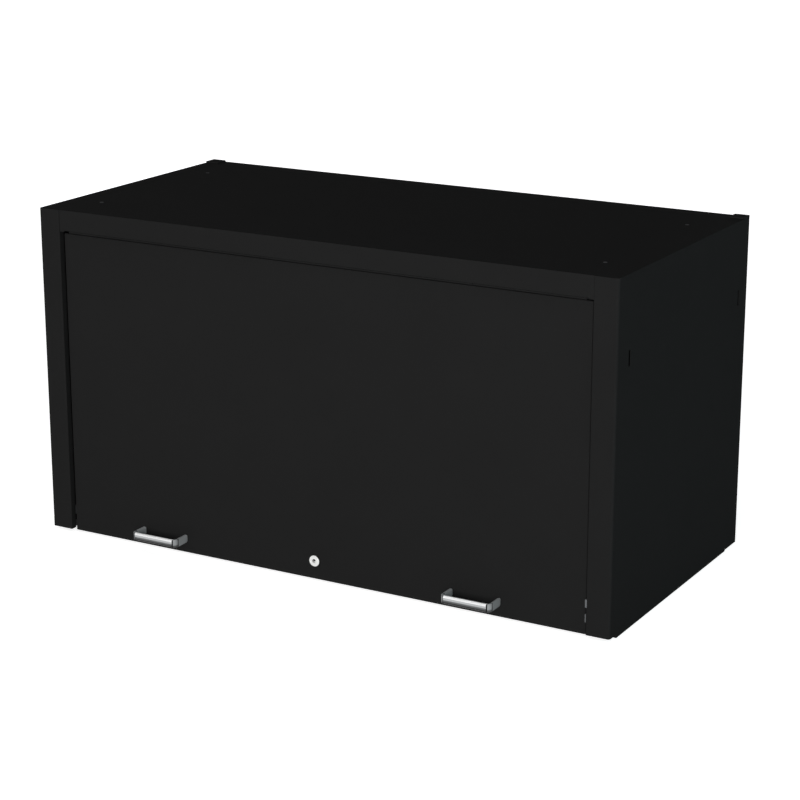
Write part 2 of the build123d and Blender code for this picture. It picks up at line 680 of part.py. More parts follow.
# Lock plug with the ring-shaped keyway of a tubular key, its square drive and its threaded stub
def lock_plug():
    face = DOOR_FACE - LOCK_FLANGE_PROUD
    plug_back = CAM_FRONT - LAYER_GAP / 2
    with BuildPart() as plug:
        with BuildSketch(front_plane(plug_back)):
            with Locations((0, LOCK_LEVEL)):
                Circle(PLUG_RADIUS)
        extrude(amount=plug_back - face)
        with BuildSketch(front_plane(face)):
            with Locations((0, LOCK_LEVEL)):
                Circle(KEYWAY_OUTER)
            with Locations((0, LOCK_LEVEL + KEYWAY_OUTER)):
                Rectangle(KEYWAY_NOTCH, KEYWAY_NOTCH)
            with Locations((0, LOCK_LEVEL)):
                Circle(KEYWAY_INNER, mode=Mode.SUBTRACT)
        extrude(amount=-KEYWAY_DEPTH, mode=Mode.SUBTRACT)
        with BuildSketch(front_plane(CAM_BACK)):
            with Locations((0, LOCK_LEVEL)):
                Rectangle(DRIVE_SQUARE, DRIVE_SQUARE)
        extrude(amount=CAM_BACK - plug_back)
        with BuildSketch(front_plane(CAM_BACK)):
            with Locations((0, LOCK_LEVEL)):
                Circle(STUB_RADIUS)
        extrude(amount=-CAM_NUT_HEIGHT)
    return plug


# Lock cam with one post for each rod; at rest it leans back by half of its turn
def lock_cam():
    post_front = ROD_Y - FORK_THICKNESS / 2 - LAYER_GAP
    drive = DRIVE_SQUARE + 2 * CLEARANCE_HOLE
    with BuildPart() as cam:
        with BuildSketch(front_plane(CAM_BACK)):
            with Locations((0, LOCK_LEVEL)):
                SlotCenterToCenter(2 * CAM_POST_REACH, CAM_WIDTH, rotation=90 + CAM_TURN / 2)
                Circle(CAM_HUB_RADIUS)
                Rectangle(drive, drive, mode=Mode.SUBTRACT)
        extrude(amount=CAM_SHEET)
        with BuildSketch(front_plane(CAM_FRONT)):
            for side in (-1, 1):
                with Locations((-side * CAM_POST_SIDE, LOCK_LEVEL + side * CAM_POST_RISE)):
                    Circle(CAM_POST_RADIUS)
        extrude(amount=CAM_FRONT - post_front)
    return cam


def cam_nut():
    with BuildPart() as nut:
        with BuildSketch(front_plane(CAM_BACK)):
            with Locations((0, LOCK_LEVEL)):
                RegularPolygon(CAM_NUT_FLATS / 2, 6, major_radius=False)
                Circle(STUB_RADIUS + CLEARANCE_HOLE, mode=Mode.SUBTRACT)
        extrude(amount=-CAM_NUT_HEIGHT)
    return nut


# Latch rod with the fork that a cam post moves; side is 1 for the right rod and -1 for the left
def latch_rod(side):
    post_x = -side * CAM_POST_SIDE
    slot_half = CAM_POST_RADIUS + FORK_PLAY
    fork_half = slot_half + FORK_WALL
    start = post_x + side * slot_half
    end = side * (DOOR_HALF - ROD_TIP_INSET)
    crown = sorted((LOCK_LEVEL + side * FORK_MOUTH, LOCK_LEVEL + side * FORK_CROWN))
    slot = sorted((LOCK_LEVEL + side * FORK_MOUTH, LOCK_LEVEL + side * FORK_SLOT_TOP))
    with BuildPart() as rod:
        with BuildSketch(Plane.YZ.offset(start)):
            with Locations((ROD_Y, LOCK_LEVEL + side * ROD_OFFSET)):
                Circle(ROD_RADIUS)
        extrude(amount=end - start)
        tip = rod.faces().filter_by(Axis.X).sort_by(Axis.X)[-1 if side > 0 else 0]
        chamfer(tip.edges(), length=ROD_TIP_CHAMFER)
        with BuildSketch(front_plane(ROD_Y + FORK_THICKNESS / 2)):
            span(post_x - fork_half, post_x + fork_half, *crown)
        extrude(amount=FORK_THICKNESS)
        with BuildSketch(front_plane(ROD_Y + ROD_RADIUS)):
            span(post_x - slot_half, post_x + slot_half, *slot)
        extrude(amount=2 * ROD_RADIUS, mode=Mode.SUBTRACT)
    return rod


# Angle on the door skin that guides a latch rod; its upright starts at x
def rod_guide(x, side):
    level = LOCK_LEVEL + side * ROD_OFFSET
    with BuildPart() as guide:
        with BuildSketch(Plane.XY.offset(level - GUIDE_HALF_HEIGHT)):
            span(x, x + GUIDE_FOOT, SKIN_BACK, SKIN_BACK + GUIDE_SHEET)
            span(x, x + GUIDE_SHEET, SKIN_BACK, ROD_Y + ROD_RADIUS + GUIDE_WALL)
        extrude(amount=2 * GUIDE_HALF_HEIGHT)
        with BuildSketch(Plane.YZ.offset(x)):
            with Locations((ROD_Y, level)):
                Circle(ROD_RADIUS + ROD_FIT)
        extrude(amount=GUIDE_SHEET, mode=Mode.SUBTRACT)
    return guide


# Stand-off bracket that carries a strut's cabinet pivot, folded as a hat on the side panel
def cabinet_strut_bracket():
    near = STRUT_X + CABINET_BRACKET_GAP
    crown = near + BRACKET_SHEET
    low = CABINET_PIVOT_Y - BRACKET_HALF
    high = CABINET_PIVOT_Y + BRACKET_HALF
    with BuildPart() as bracket:
        with BuildSketch(Plane.XY.offset(CABINET_PIVOT_Z - BRACKET_HALF)):
            with BuildLine():
                FilletPolyline(
                    (WALL_INNER, low - CABINET_BRACKET_FOOT),
                    (WALL_INNER, low),
                    (crown, low),
                    (crown, high),
                    (WALL_INNER, high),
                    (WALL_INNER, high + CABINET_BRACKET_FOOT),
                    radius=2 * BRACKET_SHEET,
                )
                offset(amount=BRACKET_SHEET, side=Side.LEFT)
            make_face()
        extrude(amount=2 * BRACKET_HALF)
        with BuildSketch(Plane.YZ.offset(near)):
            with Locations((CABINET_PIVOT_Y, CABINET_PIVOT_Z)):
                Circle(STUD_TAIL + CLEARANCE_HOLE)
        extrude(amount=BRACKET_SHEET, mode=Mode.SUBTRACT)
    return bracket


# Angle bracket on the door's lip that carries a strut's door pivot
def door_strut_bracket():
    near = STRUT_X + DOOR_BRACKET_GAP
    far = near + BRACKET_SHEET
    with BuildPart() as bracket:
        with BuildSketch(Plane.XY.offset(DOOR_PIVOT_Z - BRACKET_HALF)):
            span(far - DOOR_BRACKET_LEG, far, DOOR_BACK, DOOR_BACK + BRACKET_SHEET)
            span(near, far, DOOR_BACK, DOOR_PIVOT_Y + DOOR_BRACKET_REACH)
        extrude(amount=2 * BRACKET_HALF)
        fillet(bracket.edges().filter_by(Axis.X).group_by(Axis.Y)[-1], radius=DOOR_BRACKET_REACH)
        with BuildSketch(Plane.YZ.offset(near)):
            with Locations((DOOR_PIVOT_Y, DOOR_PIVOT_Z)):
                Circle(STUD_TAIL + CLEARANCE_HOLE)
        extrude(amount=BRACKET_SHEET, mode=Mode.SUBTRACT)
    return bracket


# Shouldered pivot stud, riveted into a bracket whose near face is at x
def pivot_stud(x, y, z):
    eye_near = STRUT_X + EYE_THICKNESS / 2 + EYE_PLAY
    eye_far = STRUT_X - EYE_THICKNESS / 2 - EYE_PLAY
    with BuildPart() as stud:
        for start, end, radius in (
            (eye_far - STUD_HEAD_THICKNESS, eye_far, STUD_HEAD),
            (eye_far, eye_near, STUD_RADIUS),
            (eye_near, x, STUD_NECK),
            (x, x + BRACKET_SHEET + STUD_TAIL_PROUD, STUD_TAIL),
        ):
            with BuildSketch(Plane.YZ.offset(start)):
                with Locations((y, z)):
                    Circle(radius)
            extrude(amount=end - start)
    return stud


# Flat end eye of a strut; it reaches from its pivot towards the other one
def strut_eye(pivot, direction):
    with BuildPart() as eye:
        with BuildSketch(strut_plane(pivot).offset(-EYE_THICKNESS / 2)):
            Circle(EYE_RADIUS)
            span(*sorted((0, direction * EYE_REACH)), -EYE_SHANK / 2, EYE_SHANK / 2)
            Circle(STUD_RADIUS + EYE_FIT, mode=Mode.SUBTRACT)
        extrude(amount=EYE_THICKNESS)
    return eye


# Cylinder of a gas strut, closed at the cabinet end
def strut_cylinder():
    floor = EYE_REACH + CYLINDER_FLOOR
    with BuildPart() as cylinder:
        with BuildSketch(strut_section(EYE_REACH)):
            Circle(CYLINDER_RADIUS)
        extrude(amount=CYLINDER_END - EYE_REACH)
        with BuildSketch(strut_section(floor)):
            Circle(CYLINDER_RADIUS - CYLINDER_WALL)
        extrude(amount=CYLINDER_END - GLAND_LENGTH - floor, mode=Mode.SUBTRACT)
        with BuildSketch(strut_section(CYLINDER_END - GLAND_LENGTH)):
            Circle(STRUT_ROD_RADIUS + GLAND_CLEARANCE)
        extrude(amount=GLAND_LENGTH, mode=Mode.SUBTRACT)
    return cylinder


# Piston rod of a gas strut with its piston
def strut_rod():
    start = EYE_REACH + CYLINDER_FLOOR + PISTON_MARGIN
    with BuildPart() as rod:
        with BuildSketch(strut_section(start)):
            Circle(STRUT_ROD_RADIUS)
        extrude(amount=STRUT_LENGTH - EYE_REACH - start)
        with BuildSketch(strut_section(start)):
            Circle(PISTON_RADIUS)
        extrude(amount=PISTON_LENGTH)
    return rod


# Rivet heads that hold the strut brackets to the side panels
def cabinet_bracket_rivets():
    reach = BRACKET_HALF + CABINET_BRACKET_FOOT / 2 + BRACKET_SHEET
    with BuildPart() as rivets:
        for side in (-1, 1):
            with BuildSketch(Plane.YZ.offset(side * (WALL_INNER - BRACKET_SHEET))):
                for step in (-1, 1):
                    with Locations((CABINET_PIVOT_Y + step * reach, CABINET_PIVOT_Z)):
                        Circle(RIVET_HEAD_RADIUS)
            extrude(amount=-side * RIVET_HEAD_HEIGHT, taper=RIVET_HEAD_TAPER)
    return rivets


# Rivet heads that hold the strut brackets to the door's lip
def door_bracket_rivets():
    middle = STRUT_X + DOOR_BRACKET_GAP + BRACKET_SHEET / 2 - DOOR_BRACKET_LEG / 2
    with BuildPart() as rivets:
        with BuildSketch(front_plane(DOOR_BACK + BRACKET_SHEET)):
            for side in (-1, 1):
                for step in (-1, 1):
                    with Locations((side * middle, DOOR_PIVOT_Z + step * BRACKET_HALF / 2)):
                        Circle(RIVET_HEAD_RADIUS)
        extrude(amount=-RIVET_HEAD_HEIGHT, taper=RIVET_HEAD_TAPER)
    return rivets


# Angle bracket on the side panel that reaches in behind the door's edge
def stop_bracket():
    face = DOOR_BACK + STOP_GAP + BUMPER_HEIGHT
    with BuildPart() as bracket:
        with BuildSketch(Plane.XY.offset(STOP_LEVEL - STOP_HALF_HEIGHT)):
            span(DOOR_HALF - STOP_REACH, WALL_INNER, face, face + BRACKET_SHEET)
            span(WALL_INNER - BRACKET_SHEET, WALL_INNER, face, face + STOP_FLANGE)
        extrude(amount=2 * STOP_HALF_HEIGHT)
    return bracket


# Rubber bumper on the front of a stop bracket
def stop_bumper():
    with BuildPart() as bumper:
        with BuildSketch(front_plane(DOOR_BACK + STOP_GAP + BUMPER_HEIGHT)):
            with Locations((DOOR_HALF - STOP_REACH / 2, STOP_LEVEL)):
                Circle(BUMPER_RADIUS)
        extrude(amount=BUMPER_HEIGHT)
        chamfer(bumper.faces().sort_by(Axis.Y)[0].edges(), length=BUMPER_CHAMFER)
    return bumper


os.makedirs("parts", exist_ok=True)

# Cabinet
write_pair(side_panel(), "side_panel")
write_pair(base_rail(), "base_rail")
write_pair(rear_post(), "rear_post")
write(top_panel(), "top_panel")
write(header_rail(), "header_rail")
write(back_panel(), "back_panel")
write(back_panel_rivets(), "back_panel_rivets")
write(hinge_leaf(0, 1), "hinge_cabinet_leaf")
write(hinge_pin(), "hinge_pin")
write(hinge_rivets(1), "cabinet_hinge_rivets")
write(right_strike_plate(), "right_strike_plate")
write(left_strike_plate(), "left_strike_plate")
write_pair(cabinet_strut_bracket(), "cabinet_strut_bracket")
write(cabinet_bracket_rivets(), "cabinet_bracket_rivets")
write_pair(
    pivot_stud(STRUT_X + CABINET_BRACKET_GAP, CABINET_PIVOT_Y, CABINET_PIVOT_Z), "cabinet_strut_stud"
)
write_pair(stop_bracket(), "stop_bracket")
write_pair(stop_bumper(), "stop_bumper")

# Door
write(door_skin(), "door_skin")
write(hinge_leaf(1, -1), "hinge_door_leaf")
write(hinge_rivets(-1), "door_hinge_rivets")
write(door_stiffener(-HAT_SPACING), "left_door_stiffener")
write(door_stiffener(0), "middle_door_stiffener")
write(door_stiffener(HAT_SPACING), "right_door_stiffener")
write(handle_legs(-HANDLE_OFFSET), "left_handle_legs")
write(handle_legs(HANDLE_OFFSET), "right_handle_legs")
write(handle_grip(-HANDLE_OFFSET), "left_handle_grip")
write(handle_grip(HANDLE_OFFSET), "right_handle_grip")
write(handle_screws(), "handle_screws")
write(lock_case(), "lock_case")
write(lock_nut(), "lock_nut")
write(rod_guide(INNER_GUIDE_X, 1), "right_inner_rod_guide")
write(rod_guide(OUTER_GUIDE_X, 1), "right_outer_rod_guide")
write(rod_guide(-INNER_GUIDE_X, -1), "left_inner_rod_guide")
write(rod_guide(-OUTER_GUIDE_X, -1), "left_outer_rod_guide")
write_pair(door_strut_bracket(), "door_strut_bracket")
write(door_bracket_rivets(), "door_bracket_rivets")
write_pair(pivot_stud(STRUT_X + DOOR_BRACKET_GAP, DOOR_PIVOT_Y, DOOR_PIVOT_Z), "door_strut_stud")

# Lock and latch rods
write(lock_plug(), "lock_plug")
write(lock_cam(), "lock_cam")
write(cam_nut(), "cam_nut")
write(latch_rod(1), "right_latch_rod")
write(latch_rod(-1), "left_latch_rod")

# Gas struts
write_pair(strut_cylinder(), "strut_cylinder")
write_pair(strut_eye(0, 1), "strut_cylinder_eye")
write_pair(strut_rod(), "strut_rod")
write_pair(strut_eye(STRUT_LENGTH, -1), "strut_rod_eye")
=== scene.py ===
"""Looks of a tool chest top hutch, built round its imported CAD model.

Everything is in metres, in the frame of the CAD: X to the right seen from the front, Y to the
back, Z up.
"""

import json
import logging
import math
from dataclasses import dataclass, replace
from enum import Enum

import bmesh
import bpy
import numpy as np
from mathutils import Matrix, Vector

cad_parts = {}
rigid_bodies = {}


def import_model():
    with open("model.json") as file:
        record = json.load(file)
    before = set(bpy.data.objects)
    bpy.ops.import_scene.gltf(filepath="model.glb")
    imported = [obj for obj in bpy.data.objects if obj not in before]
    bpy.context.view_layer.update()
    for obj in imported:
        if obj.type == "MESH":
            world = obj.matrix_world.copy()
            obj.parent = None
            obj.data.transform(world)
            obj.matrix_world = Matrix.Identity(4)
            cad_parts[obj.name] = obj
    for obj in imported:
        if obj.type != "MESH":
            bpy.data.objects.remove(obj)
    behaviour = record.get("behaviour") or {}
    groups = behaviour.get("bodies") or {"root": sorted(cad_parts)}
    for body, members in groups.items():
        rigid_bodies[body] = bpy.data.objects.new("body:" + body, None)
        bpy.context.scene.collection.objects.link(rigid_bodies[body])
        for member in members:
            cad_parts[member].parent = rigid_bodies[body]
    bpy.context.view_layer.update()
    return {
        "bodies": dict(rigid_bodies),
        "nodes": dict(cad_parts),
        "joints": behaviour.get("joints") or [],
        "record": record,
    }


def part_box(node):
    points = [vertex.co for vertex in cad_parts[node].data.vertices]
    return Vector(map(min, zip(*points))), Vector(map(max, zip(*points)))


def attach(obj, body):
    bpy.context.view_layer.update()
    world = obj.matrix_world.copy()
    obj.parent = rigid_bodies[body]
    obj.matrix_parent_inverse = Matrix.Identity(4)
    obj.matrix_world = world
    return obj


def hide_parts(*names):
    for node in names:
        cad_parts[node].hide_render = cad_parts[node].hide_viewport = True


Tree = bpy.types.NodeTree
Socket = bpy.types.NodeSocket

MM = 0.001
BACKWARDS = Vector((0, 1, 0))
FORWARDS = Vector((0, -1, 0))
UPWARDS = Vector((0, 0, 1))
# doubles nearer than this are merged, and edges that turn by more than this stay sharp
MERGE_DISTANCE = 0.002 * MM
SHARP_ANGLE = math.radians(32)
# most of a noise texture's values lie between these two
NOISE_LOW, NOISE_HIGH = 0.3, 0.7
BUMP_STRENGTH = 0.6
# a brush stroke is some sixty times as long as it is wide
STROKE_STRETCH = 60

log = logging.getLogger("hutch")


class Side(Enum):
    """Side of the hutch seen from the front, as the sign of X."""

    RIGHT = 1
    LEFT = -1

    @property
    def word(self) -> str:
        """The side's word in piece and body names."""
        return self.name.lower()


class Grain(Enum):
    """How a metal's surface was worked."""

    PLAIN = "plain"
    BRUSHED = "brushed along X"


# ---------------------------------------------------------------- finishes


def linear(colour: str) -> tuple[float, ...]:
    """Turns an sRGB colour to linear light.

    Args:
        colour: a hash and six hex digits.

    Returns:
        Red, green, blue and an alpha of 1.
    """
    share = np.array([int(colour[i : i + 2], 16) for i in (1, 3, 5)]) / 255
    light = np.where(share <= 0.04045, share / 12.92, ((share + 0.055) / 1.055) ** 2.4)
    return (*light.tolist(), 1.0)


def add_node(
    tree: Tree, kind: str, settings: dict | None = None, inputs: dict | None = None
) -> bpy.types.Node:
    """Adds a shader node.

    Args:
        tree: the tree that gets it.
        kind: its type, without the ShaderNode in front.
        settings: values of its attributes.
        inputs: for each socket, by name or number, a value or the output socket that feeds it.

    Returns:
        The new node.
    """
    node = tree.nodes.new("ShaderNode" + kind)
    for name, value in (settings or {}).items():
        setattr(node, name, value)
    for name, value in (inputs or {}).items():
        if isinstance(value, Socket):
            tree.links.new(value, node.inputs[name])
        else:
            node.inputs[name].default_value = value
    return node


def remap(
    tree: Tree,
    value: Socket,
    start: tuple[float, float],
    end: tuple[float, float],
    smooth: bool = True,
) -> Socket:
    """Adds a node that carries a value from one range to another and holds it at the ends.

    Args:
        tree: the tree that gets it.
        value: the value.
        start: where the value's range starts, and what comes out there.
        end: where the range ends, and what comes out there.
        smooth: whether the way between them is a smooth step, or else a straight line.

    Returns:
        The socket that carries the result.
    """
    kind = "SMOOTHSTEP" if smooth else "LINEAR"
    inputs = dict(zip(("From Min", "To Min", "From Max", "To Max"), (*start, *end)))
    node = add_node(tree, "MapRange", {"interpolation_type": kind}, {"Value": value, **inputs})
    return node.outputs["Result"]


@dataclass(frozen=True)
class Fade:
    """A change to another colour along one axis of the hutch, from one place to the next."""

    axis: str
    start_mm: float
    end_mm: float
    colour: str


@dataclass(frozen=True)
class Finish:
    """A surface finish: a colour that drifts between two near shades, and a fine relief.

    The drift and the relief are noise, whose cell is the reach of one patch in millimetres.
    """

    name: str
    slot: str
    colour: str
    shade: str
    roughness: float
    metallic: float = 0.0
    specular: float = 0.5
    drift_mm: float = 120.0
    relief_mm: float = 3.0
    relief_height_mm: float = 0.02
    roughness_spread: float = 0.03
    coat: float = 0.0
    coat_roughness: float = 0.08
    grain: Grain = Grain.PLAIN
    fades: tuple[Fade, ...] = ()

    def faded(self, tree: Tree, colour: Socket) -> Socket:
        """Lays the fades over a colour.

        Args:
            tree: the material's node tree.
            colour: the socket that carries the colour.

        Returns:
            The socket that carries the colour with its fades.
        """
        if not self.fades:
            return colour
        where = add_node(tree, "TexCoord").outputs["Object"]
        place = add_node(tree, "SeparateXYZ", inputs={0: where})
        for fade in self.fades:
            start, end = fade.start_mm * MM, fade.end_mm * MM
            share = remap(tree, place.outputs[fade.axis], (start, 0.0), (end, 1.0))
            inputs = {0: share, 6: colour, 7: linear(fade.colour)}
            colour = add_node(tree, "Mix", {"data_type": "RGBA"}, inputs).outputs[2]
        return colour

    def grain_vector(self, tree: Tree) -> Socket:
        """Coordinates of the relief: object coordinates, drawn out along a brushed grain.

        Args:
            tree: the material's node tree.

        Returns:
            The socket that carries them.
        """
        place = add_node(tree, "TexCoord").outputs["Object"]
        if self.grain is Grain.BRUSHED:
            scale = (1 / STROKE_STRETCH, 1, 1)
            stretch = add_node(tree, "Mapping", inputs={"Vector": place, "Scale": scale})
            return stretch.outputs["Vector"]
        return place

    def build(self) -> bpy.types.Material:
        """Makes the material.

        Returns:
            A node material on object coordinates.
        """
        material = bpy.data.materials.new(self.name)
        material.use_nodes = True
        tree = material.node_tree
        tree.nodes.clear()
        place = self.grain_vector(tree)

        def noise(cell_mm: float, detail: float) -> Socket:
            """A noise whose patches are some cell_mm across."""
            inputs = {"Vector": place, "Scale": 1 / (cell_mm * MM), "Detail": detail}
            return add_node(tree, "TexNoise", inputs=inputs).outputs["Fac"]

        drift = noise(self.drift_mm, 3.0)
        relief = noise(self.relief_mm, 2.0)
        # sockets 0, 6 and 7 of a colour mix are its factor and two colours, and output 2 the mix
        mix = {0: drift, 6: linear(self.colour), 7: linear(self.shade)}
        colour = add_node(tree, "Mix", {"data_type": "RGBA"}, mix)
        low = (NOISE_LOW, self.roughness - self.roughness_spread)
        high = (NOISE_HIGH, self.roughness + self.roughness_spread)
        roughness = remap(tree, relief, low, high, smooth=False)
        height = self.relief_height_mm * MM
        dents = {"Strength": BUMP_STRENGTH, "Distance": height, "Height": relief}
        bump = add_node(tree, "Bump", inputs=dents)
        shader = add_node(
            tree,
            "BsdfPrincipled",
            inputs={
                "Base Color": self.faded(tree, colour.outputs[2]),
                "Metallic": self.metallic,
                "Roughness": roughness,
                "Specular IOR Level": self.specular,
                "Coat Weight": self.coat,
                "Coat Roughness": self.coat_roughness,
                "Normal": bump.outputs["Normal"],
            },
        )
        add_node(tree, "OutputMaterial", inputs={"Surface": shader.outputs["BSDF"]})
        return material


# Polyester powder coat, sprayed dry and baked: an even matt black with a trace of sheen, whose
# orange peel cells are about 1 mm across, drawn here 3 mm across so that they show.
POWDER_COAT = Finish(
    "matt_black_powder_coat",
    "black_powder_coat",
    "#232323",
    "#212121",
    roughness=0.6,
    specular=0.0,
    relief_height_mm=0.03,
    coat=0.012,
    coat_roughness=0.3,
)
# Bright zinc electroplate with a clear passivate: a cool, slightly cloudy grey metal.
ZINC_PLATE = Finish(
    "clear_zinc_plate",
    "zinc_plated_steel",
    "#8f9296",
    "#7c8084",
    roughness=0.34,
    metallic=1.0,
    drift_mm=14.0,
    relief_mm=1.2,
    relief_height_mm=0.004,
    roughness_spread=0.07,
)
# The same zinc on the strike plates, darkened and made less metallic as painted shade for the shade
# of the door's edge.
SHADED_ZINC_PLATE = replace(
    ZINC_PLATE, name="dull_zinc_plate", colour="#646668", shade="#56585a", metallic=0.5
)
# Nickel electroplate on turned brass, satin polished: a pale metal with faint turning rings.
NICKEL_PLATE = Finish(
    "satin_nickel_plate",
    "nickel_plate",
    "#f4f4f2",
    "#e9e9e7",
    roughness=0.3,
    metallic=0.2,
    specular=0.2,
    drift_mm=6.0,
    relief_mm=0.8,
    relief_height_mm=0.002,
)
# The same nickel on the lock's plug: in the keyway, deeper than the face, it is painted near black
# as painted shade, and the lower half is painted back to the plain colour as painted light, so only
# the upper half is dark.
NICKEL_PLUG = replace(
    NICKEL_PLATE,
    name="satin_nickel_plug",
    fades=(Fade("Y", -288.95, -288.6, "#040404"), Fade("Z", 40.8, 39.4, "#e9e9e7")),
)
# Aluminium bar, brushed lengthways and clear anodised: strokes 0.3 mm wide, drawn 0.8 mm wide.
# Its colour is painted white along the top as a painted highlight, and dark grey to near black
# towards the underside as painted shade.
BRUSHED_ALUMINIUM = Finish(
    "brushed_anodised_aluminium",
    "brushed_aluminium",
    "#c0c1c2",
    "#b2b4b5",
    roughness=0.3,
    metallic=0.25,
    specular=0.3,
    drift_mm=2.4,
    relief_mm=0.8,
    relief_height_mm=0.02,
    roughness_spread=0.06,
    grain=Grain.BRUSHED,
    # painted highlight along the top, then painted shade down to the underside
    fades=(
        Fade("Z", 37.4, 38.8, "#ffffff"),
        Fade("Z", 35.0, 32.6, "#606162"),
        Fade("Z", 32.2, 28.6, "#0e0e0e"),
    ),
)
# Zinc die casting, bead blasted and lacquered: an even mid grey with hardly any sheen.
SATIN_CASTING = Finish(
    "lacquered_grey_casting",
    "grey_satin_metal",
    "#9c9e9f",
    "#919394",
    roughness=0.45,
    specular=0.1,
    drift_mm=9.0,
    relief_mm=0.9,
    relief_height_mm=0.01,
)
# The same casting on the handle's knuckles, painted darker towards the bottom as painted shade.
SATIN_KNUCKLE = replace(
    SATIN_CASTING, name="lacquered_grey_knuckle", fades=(Fade("Z", 32.6, 28.6, "#484949"),)
)
# Moulded natural rubber: dull black.
MOULDED_RUBBER = Finish(
    "moulded_black_rubber",
    "black_rubber",
    "#1a1a1a",
    "#151515",
    roughness=0.8,
    specular=0.15,
    relief_mm=1.0,
    relief_height_mm=0.02,
)
# Stoved enamel on a steel tube: gloss black under a clear top layer.
STOVED_ENAMEL = Finish(
    "stoved_gloss_enamel",
    "gloss_black_paint",
    "#141415",
    "#101011",
    roughness=0.3,
    coat=0.6,
    relief_mm=6.0,
    relief_height_mm=0.01,
)
# The same enamel on the small rivet nuts, dull and a lighter grey, as a painted highlight for their
# small glint.
DULL_ENAMEL = replace(
    STOVED_ENAMEL,
    name="dull_thin_enamel",
    colour="#444445",
    shade="#3c3c3d",
    roughness=0.5,
    specular=0.0,
    coat=0.0,
)
# Hard chrome, ground and polished: a mirror-bright rod.
HARD_CHROME = Finish(
    "polished_hard_chrome",
    "polished_rod",
    "#d3d6da",
    "#cdd0d4",
    roughness=0.12,
    metallic=1.0,
    drift_mm=20.0,
    relief_mm=0.8,
    relief_height_mm=0.001,
    roughness_spread=0.02,
)


# CAD nodes that get a copy of their slot's material, darkened as painted shade.
SPECIAL_NODES = {
    "right_strike_plate": SHADED_ZINC_PLATE,
    "left_strike_plate": SHADED_ZINC_PLATE,
}


class Paintbox:
    """The materials, each made once from its finish."""

    def __init__(self) -> None:
        """Builds every finish."""
        finishes = (
            POWDER_COAT,
            ZINC_PLATE,
            NICKEL_PLATE,
            BRUSHED_ALUMINIUM,
            SATIN_CASTING,
            MOULDED_RUBBER,
            STOVED_ENAMEL,
            HARD_CHROME,
        )
        special = (NICKEL_PLUG, SHADED_ZINC_PLATE, SATIN_KNUCKLE, DULL_ENAMEL)
        self.materials = {finish: finish.build() for finish in (*finishes, *special)}
        self.by_slot = {finish.slot: self.materials[finish] for finish in finishes}

    def dress(self, frame: dict) -> None:
        """Gives each CAD node the material of its slot in the record, or its own special one.
        """
        for part in frame["record"]["subparts"]:
            finish = SPECIAL_NODES.get(part["node"])
            material = self.materials[finish] if finish else self.by_slot[part["material_slot"]]
            for socket in frame["nodes"][part["node"]].material_slots:
                socket.material = material


# ---------------------------------------------------------------- surfaces


class Shell:
    """A closed mesh gathered from grids of points."""

    def __init__(self) -> None:
        """Starts with nothing."""
        self.points: list[np.ndarray] = []
        self.faces: list[list[int]] = []
        self.count = 0

    def grid(self, points: np.ndarray, wrap: bool = False) -> np.ndarray:
        """Adds a grid of points with a quad between each four neighbours.

        Args:
            points: rows by columns by 3.
            wrap: whether the last column joins the first.

        Returns:
            The points' numbers, rows by columns.
        """
        rows, columns = points.shape[:2]
        number = np.arange(rows * columns).reshape(rows, columns) + self.count
        joined = np.concatenate([number, number[:, :1]], axis=1) if wrap else number
        quads = np.stack(
            [joined[:-1, :-1], joined[1:, :-1], joined[1:, 1:], joined[:-1, 1:]], axis=-1
        )
        self.points.append(points.reshape(-1, 3))
        self.faces += quads.reshape(-1, 4).tolist()
        self.count += rows * columns
        return number

    def tube(self, points: np.ndarray) -> None:
        """Adds a grid whose columns wrap round, closed by a flat face at its first and last row.

        Args:
            points: rows by columns by 3.
        """
        number = self.grid(points, wrap=True)
        self.faces += [number[0].tolist(), number[-1].tolist()]

    def ring(self, points: np.ndarray) -> None:
        """Adds a grid whose columns wrap round and whose last row joins its first.

        Args:
            points: rows by columns by 3.
        """
        self.grid(np.concatenate([points, points[:1]]), wrap=True)

    def piece(
        self, name: str, paint: Paintbox, finish: Finish, body: str, replaces: tuple[str, ...] = ()
    ) -> None:
        """Makes the object, with doubles merged and faces outwards, and hands it to its body.

        Args:
            name: the piece's name.
            paint: the materials.
            finish: its surface.
            body: the CAD body that it rides on.
            replaces: the CAD nodes that it stands for.
        """
        mesh = bpy.data.meshes.new(name)
        mesh.from_pydata(np.concatenate(self.points).tolist(), [], self.faces)
        work = bmesh.new()
        work.from_mesh(mesh)
        bmesh.ops.remove_doubles(work, verts=work.verts, dist=MERGE_DISTANCE)
        bmesh.ops.recalc_face_normals(work, faces=work.faces)
        work.to_mesh(mesh)
        work.free()
        mesh.shade_smooth()
        mesh.set_sharp_from_angle(angle=SHARP_ANGLE)
        mesh.materials.append(paint.materials[finish])
        made = bpy.data.objects.new(name, mesh)
        bpy.context.scene.collection.objects.link(made)
        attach(made, body)
        if replaces:
            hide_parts(*replaces)
        log.info("%s: %d faces, on %s", name, len(mesh.polygons), body)


def rounded(corners: np.ndarray, radii: np.ndarray, steps: int = 5) -> np.ndarray:
    """Rounds the corners of a closed outline with blends that touch both sides.

    Each corner P with neighbours A and B becomes the curve (1-t)^2 S + 2t(1-t) P + t^2 E, where
    S and E lie at the corner's radius from P towards A and B.

    Args:
        corners: n by 2.
        radii: how far from each corner the blend starts, n.
        steps: points on each blend.

    Returns:
        The rounded outline, n * steps by 2.
    """
    before = np.roll(corners, 1, axis=0) - corners
    after = np.roll(corners, -1, axis=0) - corners
    start = corners + before / np.linalg.norm(before, axis=1)[:, None] * radii[:, None]
    end = corners + after / np.linalg.norm(after, axis=1)[:, None] * radii[:, None]
    t = np.linspace(0, 1, steps)[None, :, None]
    blend = (1 - t) ** 2 * start[:, None] + 2 * t * (1 - t) * corners[:, None] + t**2 * end[:, None]
    return blend.reshape(-1, 2)


